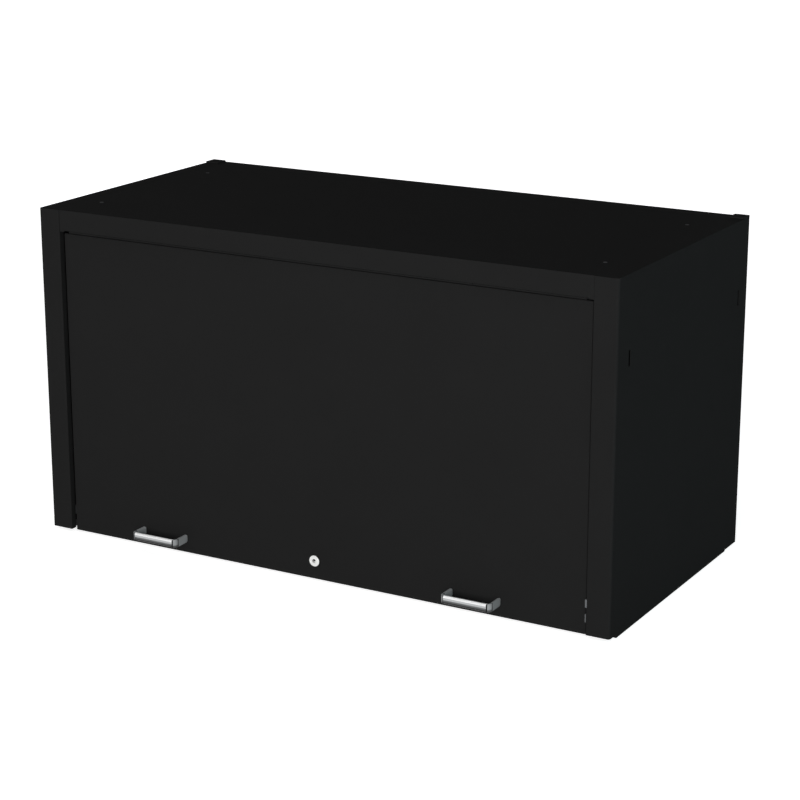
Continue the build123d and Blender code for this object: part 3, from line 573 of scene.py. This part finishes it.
def round_bar(half_width: float, half_height: float, radius: float, steps: int = 6) -> np.ndarray:
    """Outline of a bar with true quarter circles at its corners, round its centre.

    Corner k's points are its centre plus radius times (cos a, sin a), a running over its quarter.

    Args:
        half_width: along the first axis.
        half_height: along the second axis.
        radius: of the corners.
        steps: points on each corner.

    Returns:
        The outline, 4 * steps by 2.
    """
    signs = np.array([(1, 1), (-1, 1), (-1, -1), (1, -1)])
    centre = signs * (half_width - radius, half_height - radius)
    angle = np.linspace(0, math.pi / 2, steps) + np.arange(4)[:, None] * math.pi / 2
    turn = np.stack([np.cos(angle), np.sin(angle)], axis=-1)
    return (centre[:, None] + radius * turn).reshape(-1, 2)


def lathe(profile: np.ndarray, centre: Vector, axis: Vector, segments: int = 48) -> np.ndarray:
    """Turns a profile round an axis.

    point(s, t) = centre + along(s) * axis + radius(s) * (cos t * side + sin t * up)

    Args:
        profile: n rows of distance along the axis and radius.
        centre: where the distance is 0.
        axis: unit direction.
        segments: points round each ring.

    Returns:
        n by segments by 3 points.
    """
    side = axis.orthogonal().normalized()
    up = axis.cross(side)
    t = np.linspace(0, math.tau, segments, endpoint=False)
    spoke = np.cos(t)[:, None] * np.array(side) + np.sin(t)[:, None] * np.array(up)
    along = profile[:, 0, None, None] * np.array(axis)
    return np.array(centre) + along + profile[:, 1, None, None] * spoke[None]


# ---------------------------------------------------------------- sub-assemblies


@dataclass
class PullHandle:
    """A pull handle: two flat legs bent inwards in front, and a bright bar between them."""

    side: Side
    paint: Paintbox
    leg_thickness: float = 4.3 * MM
    leg_bend: float = 9.5 * MM
    leg_corner: float = 4.0 * MM
    leg_edge: float = 0.9 * MM
    knuckle_length: float = 5.6 * MM
    ring_width: float = 3.2 * MM
    ring_from_bend: float = 1.8 * MM
    ring_sink: float = 0.25 * MM
    groove_length: float = 2.2 * MM
    groove_depth: float = 1.2 * MM
    grip_corner: float = 4.2 * MM
    grip_edge: float = 0.45 * MM
    neck_corner: float = 0.5 * MM

    def leg(self, legs: Shell, rings: Shell, knuckles: Shell, way: int) -> None:
        """Adds a leg: a flat bar from the door, a dark ring round it that paints a groove's shade,
        and a knuckle turned inwards.

        With u and v a point's place across and up the bar's section and r = bend radius -
        half thickness + u, it lies at (c + r, y) on the straight, and on the bend at
        (c + r cos p, front + bend radius - r sin p), where p ends at acos((cut - c) / r), so
        that the end is flat. At the door v is cut down on a circle of the corner's radius.

        Args:
            legs: what the straight part is added to.
            rings: what the ring is added to.
            knuckles: what the bend is added to.
            way: 1 for the leg on the right, -1 for the one on the left.
        """
        low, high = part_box(f"{self.side.word}_handle_legs")
        middle = (low.x + high.x) / 2
        half = (high.x - low.x) / 2
        half_height = (high.z - low.z) / 2
        half_thickness = self.leg_thickness / 2
        centre = half - self.leg_bend
        bend_start = low.y + self.leg_bend
        ring = bend_start + self.ring_from_bend + np.array([[1.0], [-1.0]]) * self.ring_width / 2
        section = round_bar(half_thickness, half_height, self.leg_edge, 4)
        u, v = section[:, 0], section[:, 1]

        def run(
            y: np.ndarray, share_u: float = 1.0, share_v: float | np.ndarray = 1.0
        ) -> np.ndarray:
            """Rows of the section on the straight, at the depths y, shrunk by the shares."""
            x = half - half_thickness + u * share_u
            return np.stack(np.broadcast_arrays(x, y, v * share_v), axis=-1)

        turn = np.linspace(0, math.pi / 2, 10)[:, None]
        corner = self.leg_corner / half_height * (1 - np.sin(turn))
        foot = high.y - (1 - np.cos(turn)) * self.leg_corner
        straight = np.concatenate([run(foot, share_v=1 - corner), run(ring[:1])])
        sink = self.ring_sink
        inlay = run(ring, 1 - sink / half_thickness, 1 - sink / half_height)
        radius = self.leg_bend - half_thickness + u
        last = np.arccos((half - self.knuckle_length - centre) / radius)
        p = np.linspace(0, 1, 12)[:, None] * last
        bend = np.stack(
            np.broadcast_arrays(centre + radius * np.cos(p), bend_start - radius * np.sin(p), v),
            axis=-1,
        )
        knuckle = np.concatenate([run(ring[1:]), bend])
        for shell, points in ((legs, straight), (rings, inlay), (knuckles, knuckle)):
            points[..., 0] = middle + way * points[..., 0]
            points[..., 2] += (low.z + high.z) / 2
            shell.tube(points)

    def grip(self, shell: Shell, rings: Shell) -> None:
        """Adds the bar, whose ends are rounded off, and the washer between each end and a leg.

        point(x, j) = (x, middle depth + section_j * depth(x), level + section_j * height(x))

        Args:
            shell: what the bar is added to.
            rings: what the washers are added to.
        """
        low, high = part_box(f"{self.side.word}_handle_grip")
        neck_low, neck_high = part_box(f"{self.side.word}_handle_legs")
        level = (low.z + high.z) / 2
        middle = (low.x + high.x) / 2
        neck_half = (high.x - low.x) / 2
        bar_half = neck_half - self.groove_length
        edge = self.grip_edge
        turn = np.linspace(0, math.pi / 2, 5)
        # the bar's own ends are rounded off by a quarter circle
        rise = edge * (1 - np.sin(turn))
        out = bar_half - edge * (1 - np.cos(turn))
        bar_depth = (high.y - low.y) / 2
        bar_height = (high.z - low.z) / 2
        neck_front = neck_low.y + self.groove_depth
        neck_depth = (neck_low.y + self.leg_thickness - neck_front) / 2
        neck_height = (neck_high.z - neck_low.z) / 2 - self.groove_depth
        neck = round_bar(neck_depth, neck_height, self.neck_corner)
        half = [
            (-x, round_bar(bar_depth - inward, bar_height - inward, self.grip_corner - inward))
            for x, inward in zip(out[::-1], rise[::-1])
        ]
        bar = half + [(-x, shape) for x, shape in reversed(half)]
        # each washer is dark, as painted shade of the gap between the bar's end and the leg
        washers = [[(way * (bar_half - edge), neck), (way * neck_half, neck)] for way in (-1, 1)]
        for target, stations, depth in (
            (shell, bar, (low.y + high.y) / 2),
            (rings, washers[0], neck_front + neck_depth),
            (rings, washers[1], neck_front + neck_depth),
        ):
            shapes = np.stack([shape for _, shape in stations])
            points = np.empty((*shapes.shape[:2], 3))
            points[..., 0] = middle + np.array([x for x, _ in stations])[:, None]
            points[..., 1] = depth + shapes[..., 0]
            points[..., 2] = level + shapes[..., 1]
            target.tube(points)

    def build(self) -> None:
        """Makes the handle's legs, knuckles, bar and rings."""
        legs, knuckles, bar, rings = Shell(), Shell(), Shell(), Shell()
        for way in (-1, 1):
            self.leg(legs, rings, knuckles, way)
        self.grip(bar, rings)
        name = f"{self.side.word}_handle"
        legs.piece(f"{name}_cast_legs", self.paint, SATIN_CASTING, "door", (f"{name}_legs",))
        bar.piece(f"{name}_bar", self.paint, BRUSHED_ALUMINIUM, "door", (f"{name}_grip",))
        knuckles.piece(f"{name}_knuckles", self.paint, SATIN_KNUCKLE, "door")
        # black rubber rings and washers: their dark paints the shade in the grooves between the
        # bar, knuckles and legs
        rings.piece(f"{name}_rings", self.paint, MOULDED_RUBBER, "door")


@dataclass
class CentreLock:
    """The centre lock: a turned case, the seal round it, and a plug with a ring keyway."""

    paint: Paintbox
    bore: float = 6.28 * MM
    barrel: float = 8.0 * MM
    flange_depth: float = 2.6 * MM
    bevel: float = 1.0 * MM
    edge: float = 0.25 * MM
    seal_width: float = 1.4 * MM
    seal_drop: float = 1.0 * MM
    plug: float = 6.2 * MM
    stub: float = 2.9 * MM
    keyway: float = 3.9 * MM
    keyway_depth: float = 5.0 * MM
    post: float = 1.4 * MM
    post_drop: float = 0.6 * MM
    cam_gap: float = 0.1 * MM
    segments: int = 72

    def build(self) -> None:
        """Makes the case and its seal, and the plug."""
        low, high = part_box("lock_case")
        centre = Vector(((low.x + high.x) / 2, low.y, (low.z + high.z) / 2))
        self.case(centre, (high.x - low.x) / 2, high.y - low.y)
        self.core(centre)

    def case(self, centre: Vector, radius: float, length: float) -> None:
        """Turns the case and its seal about the plug's axis.

        Args:
            centre: middle of the flange's face.
            radius: of the seal, the case's greatest.
            length: of the case.
        """
        flange = radius - self.seal_width
        corners = np.array(
            [
                (0, self.bore),
                (0, flange - self.bevel),
                (self.bevel, flange),
                (self.flange_depth, flange),
                (self.flange_depth, self.barrel),
                (length, self.barrel),
                (length, self.bore),
            ]
        )
        # how far each corner is rounded, in shares of the edge
        radii = np.array([1.0, 1.4, 1.4, 0.4, 0.1, 1.0, 0.4]) * self.edge
        shell = Shell()
        shell.ring(lathe(rounded(corners, radii), centre, BACKWARDS, self.segments))
        shell.piece("lock_case_turned", self.paint, NICKEL_PLATE, "door", ("lock_case",))
        # the seal is black rubber, and its dark ring round the flange also stands in for the shadow
        # round the lock: painted shade
        front, back = self.seal_drop, self.flange_depth
        inner = flange - 2 * self.edge
        corners = np.array([(front, inner), (front, radius), (back, radius), (back, inner)])
        radii = np.array([0.4, 1.6, 0.4, 0.4]) * self.edge
        seal = Shell()
        seal.ring(lathe(rounded(corners, radii), centre, BACKWARDS, self.segments))
        seal.piece("lock_seal", self.paint, MOULDED_RUBBER, "door")

    def core(self, centre: Vector) -> None:
        """Turns the plug, with the ring-shaped keyway round its post and the stub at its back.

        Args:
            centre: middle of the plug's face.
        """
        low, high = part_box("lock_plug")
        end = high.y - low.y
        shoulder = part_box("lock_cam")[0].y - low.y - self.cam_gap
        profile = np.array(
            [
                (self.post_drop, 0),
                (self.post_drop, self.post - self.edge),
                (self.post_drop + self.edge, self.post),
                (self.keyway_depth, self.post),
                (self.keyway_depth, self.keyway),
                (self.edge / 2, self.keyway),
                (0, self.keyway + self.edge / 2),
                (0, self.plug - self.edge),
                (self.edge, self.plug),
                (shoulder, self.plug),
                (shoulder, self.stub),
                (end, self.stub),
                (end, 0),
            ]
        )
        shell = Shell()
        shell.grid(lathe(profile, centre, BACKWARDS), wrap=True)
        shell.piece("lock_plug_turned", self.paint, NICKEL_PLUG, "lock", ("lock_plug",))


@dataclass
class RivetRow:
    """Blind rivets: low domes with the dimple that the mandrel leaves."""

    paint: Paintbox
    finish: Finish
    radius: float = 3.4 * MM
    height: float = 1.3 * MM
    dimple: float = 1.15 * MM
    dimple_depth: float = 0.55 * MM
    foot_share: float = 0.98
    floor_share: float = 0.85
    segments: int = 20

    def profile(self) -> np.ndarray:
        """Dome: height * cos(a), radius * sin(a) blended down to a flat foot, with the dimple.

        Returns:
            Rows of height above the sheet and radius.
        """
        a = np.linspace(math.pi / 2, math.asin(self.dimple / self.radius), 9)
        dome = np.stack([self.height * np.cos(a), self.radius * np.sin(a)], axis=-1)
        floor = dome[-1, 0] - self.dimple_depth
        foot = np.array([(0, 0), (0, self.radius * self.foot_share)])
        well = np.array([(floor, self.dimple * self.floor_share), (floor, 0)])
        return np.concatenate([foot, dome, well])

    def build(
        self, name: str, body: str, node: str, centres: np.ndarray, axis: Vector | np.ndarray
    ) -> None:
        """Makes one piece of all rivets that replace a CAD node.

        Args:
            name: the piece's name.
            body: what it rides on.
            node: the CAD node that it replaces.
            centres: n by 3, on the sheet that the heads lie on.
            axis: the way the heads point, or for n ways an n by 3 array.
        """
        shell = Shell()
        profile = self.profile()
        ways = np.broadcast_to(np.array(axis, float), centres.shape)
        for centre, way in zip(centres, ways):
            shell.grid(lathe(profile, Vector(centre), Vector(way), self.segments), wrap=True)
        shell.piece(name, self.paint, self.finish, body, (node,))


@dataclass
class Hexagon:
    """A hexagon nut with chamfered corners round a plain bore, its axis along Y."""

    paint: Paintbox
    node: str
    body: str
    flats: float
    bore: float
    segments: int = 72

    def build(self) -> None:
        """Makes the nut.

        radius(t, s) = the lesser of the hexagon's radius, flats / 2 / cos(t mod 60 deg - 30 deg),
        and the chamfer cone's radius at depth s.
        """
        low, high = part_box(self.node)
        centre = np.array([(low.x + high.x) / 2, low.y, (low.z + high.z) / 2])
        length = high.y - low.y
        t = np.linspace(0, math.tau, self.segments, endpoint=False)
        hexagon = self.flats / 2 / np.cos(np.mod(t, math.pi / 3) - math.pi / 6)
        # bore, lower chamfer, flats, upper chamfer and bore again, as shares of the length and
        # of half the width across flats
        depth = np.array([0, 0, 0.12, 0.25, 0.75, 0.88, 1, 1, 0]) * length
        cone = self.flats / 2 * np.array([0, 0.97, 1.06, 1.16, 1.16, 1.06, 0.97, 0, 0])
        radius = np.minimum(hexagon[None], cone[:, None])
        radius[[0, -2, -1]] = self.bore
        points = np.empty((len(depth), len(t), 3))
        points[..., 0] = centre[0] + radius * np.sin(t)
        points[..., 1] = centre[1] + depth[:, None]
        points[..., 2] = centre[2] + radius * np.cos(t)
        shell = Shell()
        shell.grid(points, wrap=True)
        shell.piece(f"{self.node}_chamfered", self.paint, ZINC_PLATE, self.body, (self.node,))


@dataclass
class GasStrut:
    """A gas strut's tube: a rolled-in end round the rod and a rounded closed end."""

    side: Side
    paint: Paintbox
    radius: float = 9.0 * MM
    wall: float = 1.5 * MM
    gland: float = 4.3 * MM
    gland_length: float = 8.0 * MM
    floor: float = 3.0 * MM
    eye_reach: float = 14.0 * MM
    rod_reach: float = 21.0 * MM
    end_radius: float = 2.2 * MM
    floor_radius: float = 0.5 * MM
    edge: float = 0.3 * MM
    core: float = 0.5 * MM
    core_edge: float = 0.02 * MM

    def build(self, frame: dict) -> None:
        """Turns the tube about the line from the cabinet's pivot to the door's.
        """
        word = self.side.word
        place = {joint["name"]: joint.get("pos_m") for joint in frame["joints"]}
        start = Vector(place[f"{word}_cylinder_pivot"])
        end = Vector(place[f"{word}_rod_pivot"])
        axis = (end - start).normalized()
        mouth = (end - start).length - self.rod_reach
        foot = self.eye_reach
        inner = self.radius - self.wall
        corners = np.array(
            [
                (foot, self.core),
                (foot, self.radius),
                (mouth, self.radius),
                (mouth, self.gland),
                (mouth - self.gland_length, self.gland),
                (mouth - self.gland_length, inner),
                (foot + self.floor, inner),
                (foot + self.floor, self.core),
            ]
        )
        between = [self.end_radius] * 2 + [self.edge] * 3 + [self.floor_radius]
        outline = rounded(corners, np.array([self.core_edge, *between, self.core_edge]), 6)
        # the outline stays off the axis while it is rounded, and its core is then drawn onto it
        outline[outline[:, 1] < self.core + self.core_edge / 2, 1] = 0
        shell = Shell()
        shell.ring(lathe(outline, start, axis))
        body, node = f"{word}_cylinder", f"{word}_strut_cylinder"
        shell.piece(f"{word}_strut_tube", self.paint, STOVED_ENAMEL, body, (node,))


@dataclass
class BackPanel:
    """The back panel: a thin sheet with two pressed beads and a foot turned inwards."""

    paint: Paintbox
    sheet: float = 1.2 * MM
    foot: float = 20.0 * MM
    foot_bend: float = 2.6 * MM
    bead_half_length: float = 450.0 * MM
    bead_half_width: float = 13.0 * MM
    bead_depth: float = 3.0 * MM
    bead_levels: tuple[float, float] = (230.0 * MM, 450.0 * MM)
    bead_flank: float = 7.0 * MM
    bead_margin: float = 1.3
    bead_back: float = 0.3
    straight_share: float = 0.98
    plain_rows: tuple[float, float] = (0.05, 0.6)

    def press(self, x: np.ndarray, z: np.ndarray) -> np.ndarray:
        """Depth of the beads.

        With d the distance inwards from the bead's outline, depth = full depth * s^2 (3 - 2 s),
        where s is d over the flank's width, held between 0 and 1.

        Args:
            x: places across.
            z: heights.

        Returns:
            How far the sheet is pressed inwards at each place.
        """
        depth = np.zeros(np.broadcast(x, z).shape)
        for level in self.bead_levels:
            past = np.maximum(np.abs(x) - (self.bead_half_length - self.bead_half_width), 0)
            inside = self.bead_half_width - np.hypot(past, z - level)
            s = np.clip(inside / self.bead_flank, 0, 1)
            depth += self.bead_depth * s * s * (3 - 2 * s)
        return depth

    def build(self) -> None:
        """Carries the sheet's profile, foot, bend and wall, across the hutch."""
        low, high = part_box("back_panel")
        # the grid is fine over the beads' flanks and round ends, and coarse between them
        end = self.bead_half_length - self.bead_half_width
        ends = end + np.linspace(-self.bead_back, self.bead_margin, 17) * self.bead_half_width
        straight = np.linspace(-end, end, 13)[1:-1] * self.straight_share
        x = np.concatenate([[low.x], -ends[::-1], straight, ends, [high.x]])
        x = np.unique(x.round(7))
        turn = np.linspace(0, math.pi / 2, 6)
        bend_y = high.y - self.foot_bend * (1 - np.sin(turn))
        bend_z = low.z + self.foot_bend * (1 - np.cos(turn))
        fine = np.linspace(-self.bead_margin, self.bead_margin, 27) * self.bead_half_width
        beads = [level + fine for level in self.bead_levels]
        wall_z = np.sort(np.concatenate([*beads, np.linspace(*self.plain_rows, 4), [high.z]]))
        y = np.concatenate([[high.y - self.foot], bend_y, np.full(len(wall_z), high.y)])
        z = np.concatenate([[low.z], bend_z, wall_z])
        profile = np.stack([y, z], axis=-1)
        heading = np.gradient(profile, axis=0)
        heading /= np.linalg.norm(heading, axis=1)[:, None]
        inward = np.stack([-heading[:, 1], heading[:, 0]], axis=-1)
        pressed = self.press(x[None, :], z[:, None])
        pressed[: len(turn) + 1] = 0
        outer = np.empty((len(z), len(x), 3))
        outer[..., 0] = x
        outer[..., 1] = y[:, None] - pressed
        outer[..., 2] = z[:, None]
        inner = outer.copy()
        inner[..., 1] += self.sheet * inward[:, :1]
        inner[..., 2] += self.sheet * inward[:, 1:]
        shell = Shell()
        a, b = shell.grid(outer), shell.grid(inner)
        rims = (a[0], b[0]), (a[-1], b[-1]), (a[:, 0], b[:, 0]), (a[:, -1], b[:, -1])
        for first, second in rims:
            quads = np.stack([first[:-1], first[1:], second[1:], second[:-1]], axis=-1)
            shell.faces += quads.tolist()
        shell.piece("back_panel_pressed", self.paint, POWDER_COAT, "cabinet", ("back_panel",))


@dataclass
class Bumpers:
    """Rubber bumpers with a rounded crown, on the door stops."""

    paint: Paintbox
    crown: float = 1.3 * MM
    segments: int = 40

    def build(self) -> None:
        """Makes both bumpers."""
        for side in Side:
            node = f"{side.word}_stop_bumper"
            low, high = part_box(node)
            centre = Vector(((low.x + high.x) / 2, high.y, (low.z + high.z) / 2))
            radius, height = (high.x - low.x) / 2, high.y - low.y
            a = np.linspace(0, math.pi / 2, 7)
            fall, inset = self.crown * (1 - np.sin(a)), self.crown * (1 - np.cos(a))
            crown = np.stack([height - fall, radius - inset], axis=-1)
            profile = np.concatenate([[(0, 0), (0, radius)], crown, [(height, 0)]])
            shell = Shell()
            shell.grid(lathe(profile, centre, FORWARDS, self.segments), wrap=True)
            shell.piece(f"{node}_rounded", self.paint, MOULDED_RUBBER, "cabinet", (node,))


@dataclass
class RivetNuts:
    """Rivet nuts in the top's four holes: a low flange on the sheet round a dark bore."""

    paint: Paintbox
    reach_x: float = 559.0 * MM
    reach_y: float = 189.5 * MM
    hole: float = 3.45 * MM
    bore: float = 2.6 * MM
    flange: float = 4.3 * MM
    height: float = 0.8 * MM
    below: float = 9.0 * MM
    lift: float = 0.02 * MM
    segments: int = 32

    def build(self) -> None:
        """Turns the four nuts as one piece."""
        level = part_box("top_panel")[1].z
        corners = np.array(
            [
                (-self.below, self.bore),
                (self.height, self.bore),
                (self.height, self.flange),
                (self.lift, self.flange),
                (self.lift, self.hole),
                (-self.below, self.hole),
            ]
        )
        # the flange's upper rim is the roundest, and the corners on the sheet are sharp
        radii = np.array([0.2, 0.25, 0.6, 0.01, 0.01, 0.2]) * MM
        shell = Shell()
        for x in (-self.reach_x, self.reach_x):
            for y in (-self.reach_y, self.reach_y):
                place = Vector((x, y, level))
                shell.ring(lathe(rounded(corners, radii), place, UPWARDS, self.segments))
        # the nuts' lighter grey is a painted highlight for their glint
        shell.piece("top_rivet_nuts", self.paint, DULL_ENAMEL, "cabinet")


@dataclass
class Fasteners:
    """Rivets and nuts of the whole hutch, in places that follow their CAD nodes."""

    paint: Paintbox
    back_rows: int = 5
    top_gap: float = 21.0 * MM
    hinge_count: int = 8
    hinge_pitch: float = 142.5 * MM

    def build(self) -> None:
        """Makes every rivet piece and nut."""
        painted = RivetRow(self.paint, POWDER_COAT)
        plated = RivetRow(self.paint, ZINC_PLATE)
        head = painted.radius
        low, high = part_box("back_panel_rivets")
        rows = np.linspace(low.z + head, high.z - head - self.top_gap, self.back_rows)
        column = high.x - head
        sheet = low.y
        sides = [(x, sheet, z) for z in rows for x in (-column, column)]
        top = [(x, sheet, high.z - head) for x in (-column, 0, column)]
        places = np.array(sides + top)
        painted.build("back_panel_rivet_domes", "cabinet", "back_panel_rivets", places, BACKWARDS)
        for node, body in (("cabinet_hinge_rivets", "cabinet"), ("door_hinge_rivets", "door")):
            low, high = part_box(node)
            x = (np.arange(self.hinge_count) - (self.hinge_count - 1) / 2) * self.hinge_pitch
            level = (low.z + high.z) / 2
            places = np.stack(np.broadcast_arrays(x, low.y, level), axis=-1)
            painted.build(f"{node[:-1]}_domes", body, node, places, BACKWARDS)
        low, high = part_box("door_bracket_rivets")
        column = high.x - head
        ends = (low.z + head, high.z - head)
        places = np.array([(x, low.y, z) for x in (-column, column) for z in ends])
        plated.build("door_bracket_rivet_domes", "door", "door_bracket_rivets", places, BACKWARDS)
        low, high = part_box("cabinet_bracket_rivets")
        level = (low.z + high.z) / 2
        ends = (low.y + head, high.y - head)
        places = np.array([(x, y, level) for x in (low.x, high.x) for y in ends])
        ways = np.array([(1, 0, 0)] * 2 + [(-1, 0, 0)] * 2)
        node = "cabinet_bracket_rivets"
        plated.build("cabinet_bracket_rivet_domes", "cabinet", node, places, ways)
        Hexagon(self.paint, "lock_nut", "door", flats=24.0 * MM, bore=8.05 * MM).build()
        Hexagon(self.paint, "cam_nut", "lock", flats=10.0 * MM, bore=2.95 * MM).build()


# ---------------------------------------------------------------- studio


def outlook(azimuth: float, elevation: float) -> Vector:
    """Direction from the hutch to a lamp or a camera.

    Args:
        azimuth: degrees from the front, growing to the right.
        elevation: degrees above the level.

    Returns:
        A unit vector.
    """
    a, e = math.radians(azimuth), math.radians(elevation)
    return Vector((math.sin(a) * math.cos(e), -math.cos(a) * math.cos(e), math.sin(e)))


@dataclass(frozen=True)
class Softbox:
    """A soft lamp, placed by the direction that it is seen in from the hutch."""

    name: str
    azimuth: float
    elevation: float
    distance: float
    width: float
    height: float
    power: float
    colour: str = "#ffffff"

    def build(self, target: Vector) -> None:
        """Makes the lamp and turns it to the hutch.

        Args:
            target: the point that it faces.
        """
        back = outlook(self.azimuth, self.elevation)
        lamp = bpy.data.lights.new(self.name, "AREA")
        lamp.shape = "RECTANGLE"
        lamp.size, lamp.size_y = self.width, self.height
        lamp.energy = self.power
        lamp.color = linear(self.colour)[:3]
        holder = bpy.data.objects.new(self.name, lamp)
        holder.location = target + back * self.distance
        holder.rotation_mode = "QUATERNION"
        holder.rotation_quaternion = back.to_track_quat("Z", "Y")
        holder.visible_camera = False
        bpy.context.scene.collection.objects.link(holder)


LAMPS = (
    # from the front, for the door's even grey
    Softbox("key_softbox", 18, 10, distance=9.0, width=4.0, height=3.0, power=540.0),
    # from above on the left, for the top and the upper edges
    Softbox("upper_softbox", -50, 60, distance=3.5, width=1.6, height=1.4, power=15.0),
    # from behind, so that the rear isn't black
    Softbox("back_left_softbox", 238, 4, distance=7.0, width=3.0, height=2.0, power=90.0),
    Softbox("back_softbox", 182, 2, distance=7.0, width=3.0, height=2.0, power=150.0),
    # from the right, slightly cool, for the side panel
    Softbox(
        "right_softbox", 86, 12, distance=3.0, width=1.3, height=1.1, power=8.4, colour="#c4f8ff"
    ),
)


@dataclass
class Studio:
    """A white floor that turns up into a wall far off, even room light and soft lamps.

    The floor's lift goes from near_lift to far_lift between the distances near and far. The
    wall's falls to wall_lift between the heights drop_start and drop_end.
    """

    floor_radius: float = 24.0
    cove: float = 4.0
    wall_height: float = 10.0
    near: float = 2.0
    far: float = 7.0
    room: str = "#707070"
    floor_colour: str = "#f4f4f4"
    near_lift: float = 0.77
    far_lift: float = 1.0
    wall_lift: float = 0.4
    drop_start: float = 0.1
    drop_end: float = 5.0
    centre_hole: float = 0.01
    segments: int = 96
    target: tuple[float, float, float] = (0.0, 0.0, 0.34)

    def sweep_material(self) -> bpy.types.Material:
        """White sweep: diffuse, and lifted for the rays that show it.

        The lift is light only for camera, glossy and transmission rays. It grows with the
        distance from the hutch. In reflections it falls with the height on the wall.

        Returns:
            The material.
        """
        material = bpy.data.materials.new("studio_sweep")
        material.use_nodes = True
        tree = material.node_tree
        tree.nodes.clear()

        def reckon(operation: str, first: Socket, second: Socket) -> Socket:
            """The result of a sum on two sockets."""
            inputs = {0: first, 1: second}
            return add_node(tree, "Math", {"operation": operation}, inputs).outputs[0]

        path = add_node(tree, "LightPath").outputs
        shown = reckon("MAXIMUM", path["Is Camera Ray"], path["Is Glossy Ray"])
        shown = reckon("MAXIMUM", shown, path["Is Transmission Ray"])
        place = add_node(tree, "NewGeometry").outputs["Position"]
        flatten = {0: place, 1: (1.0, 1.0, 0.0)}
        level = add_node(tree, "VectorMath", {"operation": "MULTIPLY"}, flatten)
        radius = add_node(tree, "VectorMath", {"operation": "LENGTH"}, {0: level.outputs[0]})
        height = add_node(tree, "SeparateXYZ", inputs={0: place})
        near, far = (self.near, self.near_lift), (self.far, self.far_lift)
        floor = remap(tree, radius.outputs["Value"], near, far)
        top = (self.drop_end, self.far_lift - self.wall_lift)
        wall = remap(tree, height.outputs["Z"], (self.drop_start, 0.0), top)
        drop = reckon("MULTIPLY", wall, path["Is Glossy Ray"])
        lift = reckon("SUBTRACT", floor, drop)
        lift = reckon("MULTIPLY", lift, shown)
        glow = add_node(tree, "Emission", inputs={"Color": (1, 1, 1, 1), "Strength": lift})
        matte = add_node(tree, "BsdfDiffuse", inputs={"Color": linear(self.floor_colour)})
        both = add_node(tree, "AddShader", inputs={0: glow.outputs[0], 1: matte.outputs[0]})
        add_node(tree, "OutputMaterial", inputs={"Surface": both.outputs[0]})
        return material

    def sweep(self) -> None:
        """Turns the floor, the cove and the wall about the hutch's middle."""
        turn = np.linspace(0, math.pi / 2, 12)
        rise = self.cove * (1 - np.cos(turn))
        out = self.floor_radius + self.cove * np.sin(turn)
        cove = np.stack([rise, out], axis=-1)
        top = (self.wall_height, out[-1])
        profile = np.concatenate([[(0, self.centre_hole)], cove, [top]])
        shell = Shell()
        shell.grid(lathe(profile, Vector((0, 0, 0)), UPWARDS, self.segments), wrap=True)
        # one face closes the hole in the middle
        shell.faces.append(list(range(self.segments)))
        mesh = bpy.data.meshes.new("studio_sweep")
        mesh.from_pydata(np.concatenate(shell.points).tolist(), [], shell.faces)
        mesh.shade_smooth()
        mesh.materials.append(self.sweep_material())
        made = bpy.data.objects.new("studio_sweep", mesh)
        bpy.context.scene.collection.objects.link(made)

    def build(self) -> None:
        """Makes the sweep, the room's light and the lamps."""
        self.sweep()
        world = bpy.data.worlds.new("studio_room")
        world.use_nodes = True
        tree = world.node_tree
        tree.nodes.clear()
        air = add_node(tree, "Background", inputs={"Color": linear(self.room), "Strength": 1.0})
        add_node(tree, "OutputWorld", inputs={"Surface": air.outputs[0]})
        bpy.context.scene.world = world
        for lamp in LAMPS:
            lamp.build(Vector(self.target))


@dataclass
class PhotoCamera:
    """The camera of the photograph, fitted to the hutch's corners."""

    place: tuple[float, float, float] = (2.16884, -3.76325, 1.5580)
    azimuth: float = 29.627
    elevation: float = 16.21
    lens: float = 100.4
    sensor: float = 36.0
    clip: tuple[float, float] = (0.1, 300.0)

    def build(self) -> None:
        """Makes the camera and gives it to the scene."""
        back = outlook(self.azimuth, self.elevation)
        a = math.radians(self.azimuth)
        right = Vector((math.cos(a), math.sin(a), 0))
        turn = Matrix((right, back.cross(right), back)).transposed()
        lens = bpy.data.cameras.new("photo_camera")
        lens.lens, lens.sensor_width = self.lens, self.sensor
        lens.clip_start, lens.clip_end = self.clip
        camera = bpy.data.objects.new("photo_camera", lens)
        camera.location = self.place
        camera.rotation_mode = "QUATERNION"
        camera.rotation_quaternion = turn.to_quaternion()
        bpy.context.scene.collection.objects.link(camera)
        bpy.context.scene.camera = camera


def main() -> None:
    """Loads the frame, dresses it, adds the finer pieces and sets up the studio."""
    logging.basicConfig(level=logging.INFO, format="%(name)s %(message)s")
    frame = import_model()
    PhotoCamera().build()
    paint = Paintbox()
    paint.dress(frame)
    BackPanel(paint).build()
    for side in Side:
        PullHandle(side, paint).build()
        GasStrut(side, paint).build(frame)
    CentreLock(paint).build()
    Bumpers(paint).build()
    RivetNuts(paint).build()
    Fasteners(paint).build()
    Studio().build()
    bpy.context.scene.view_settings.view_transform = "Standard"


if __name__ == "__main__":
    main()
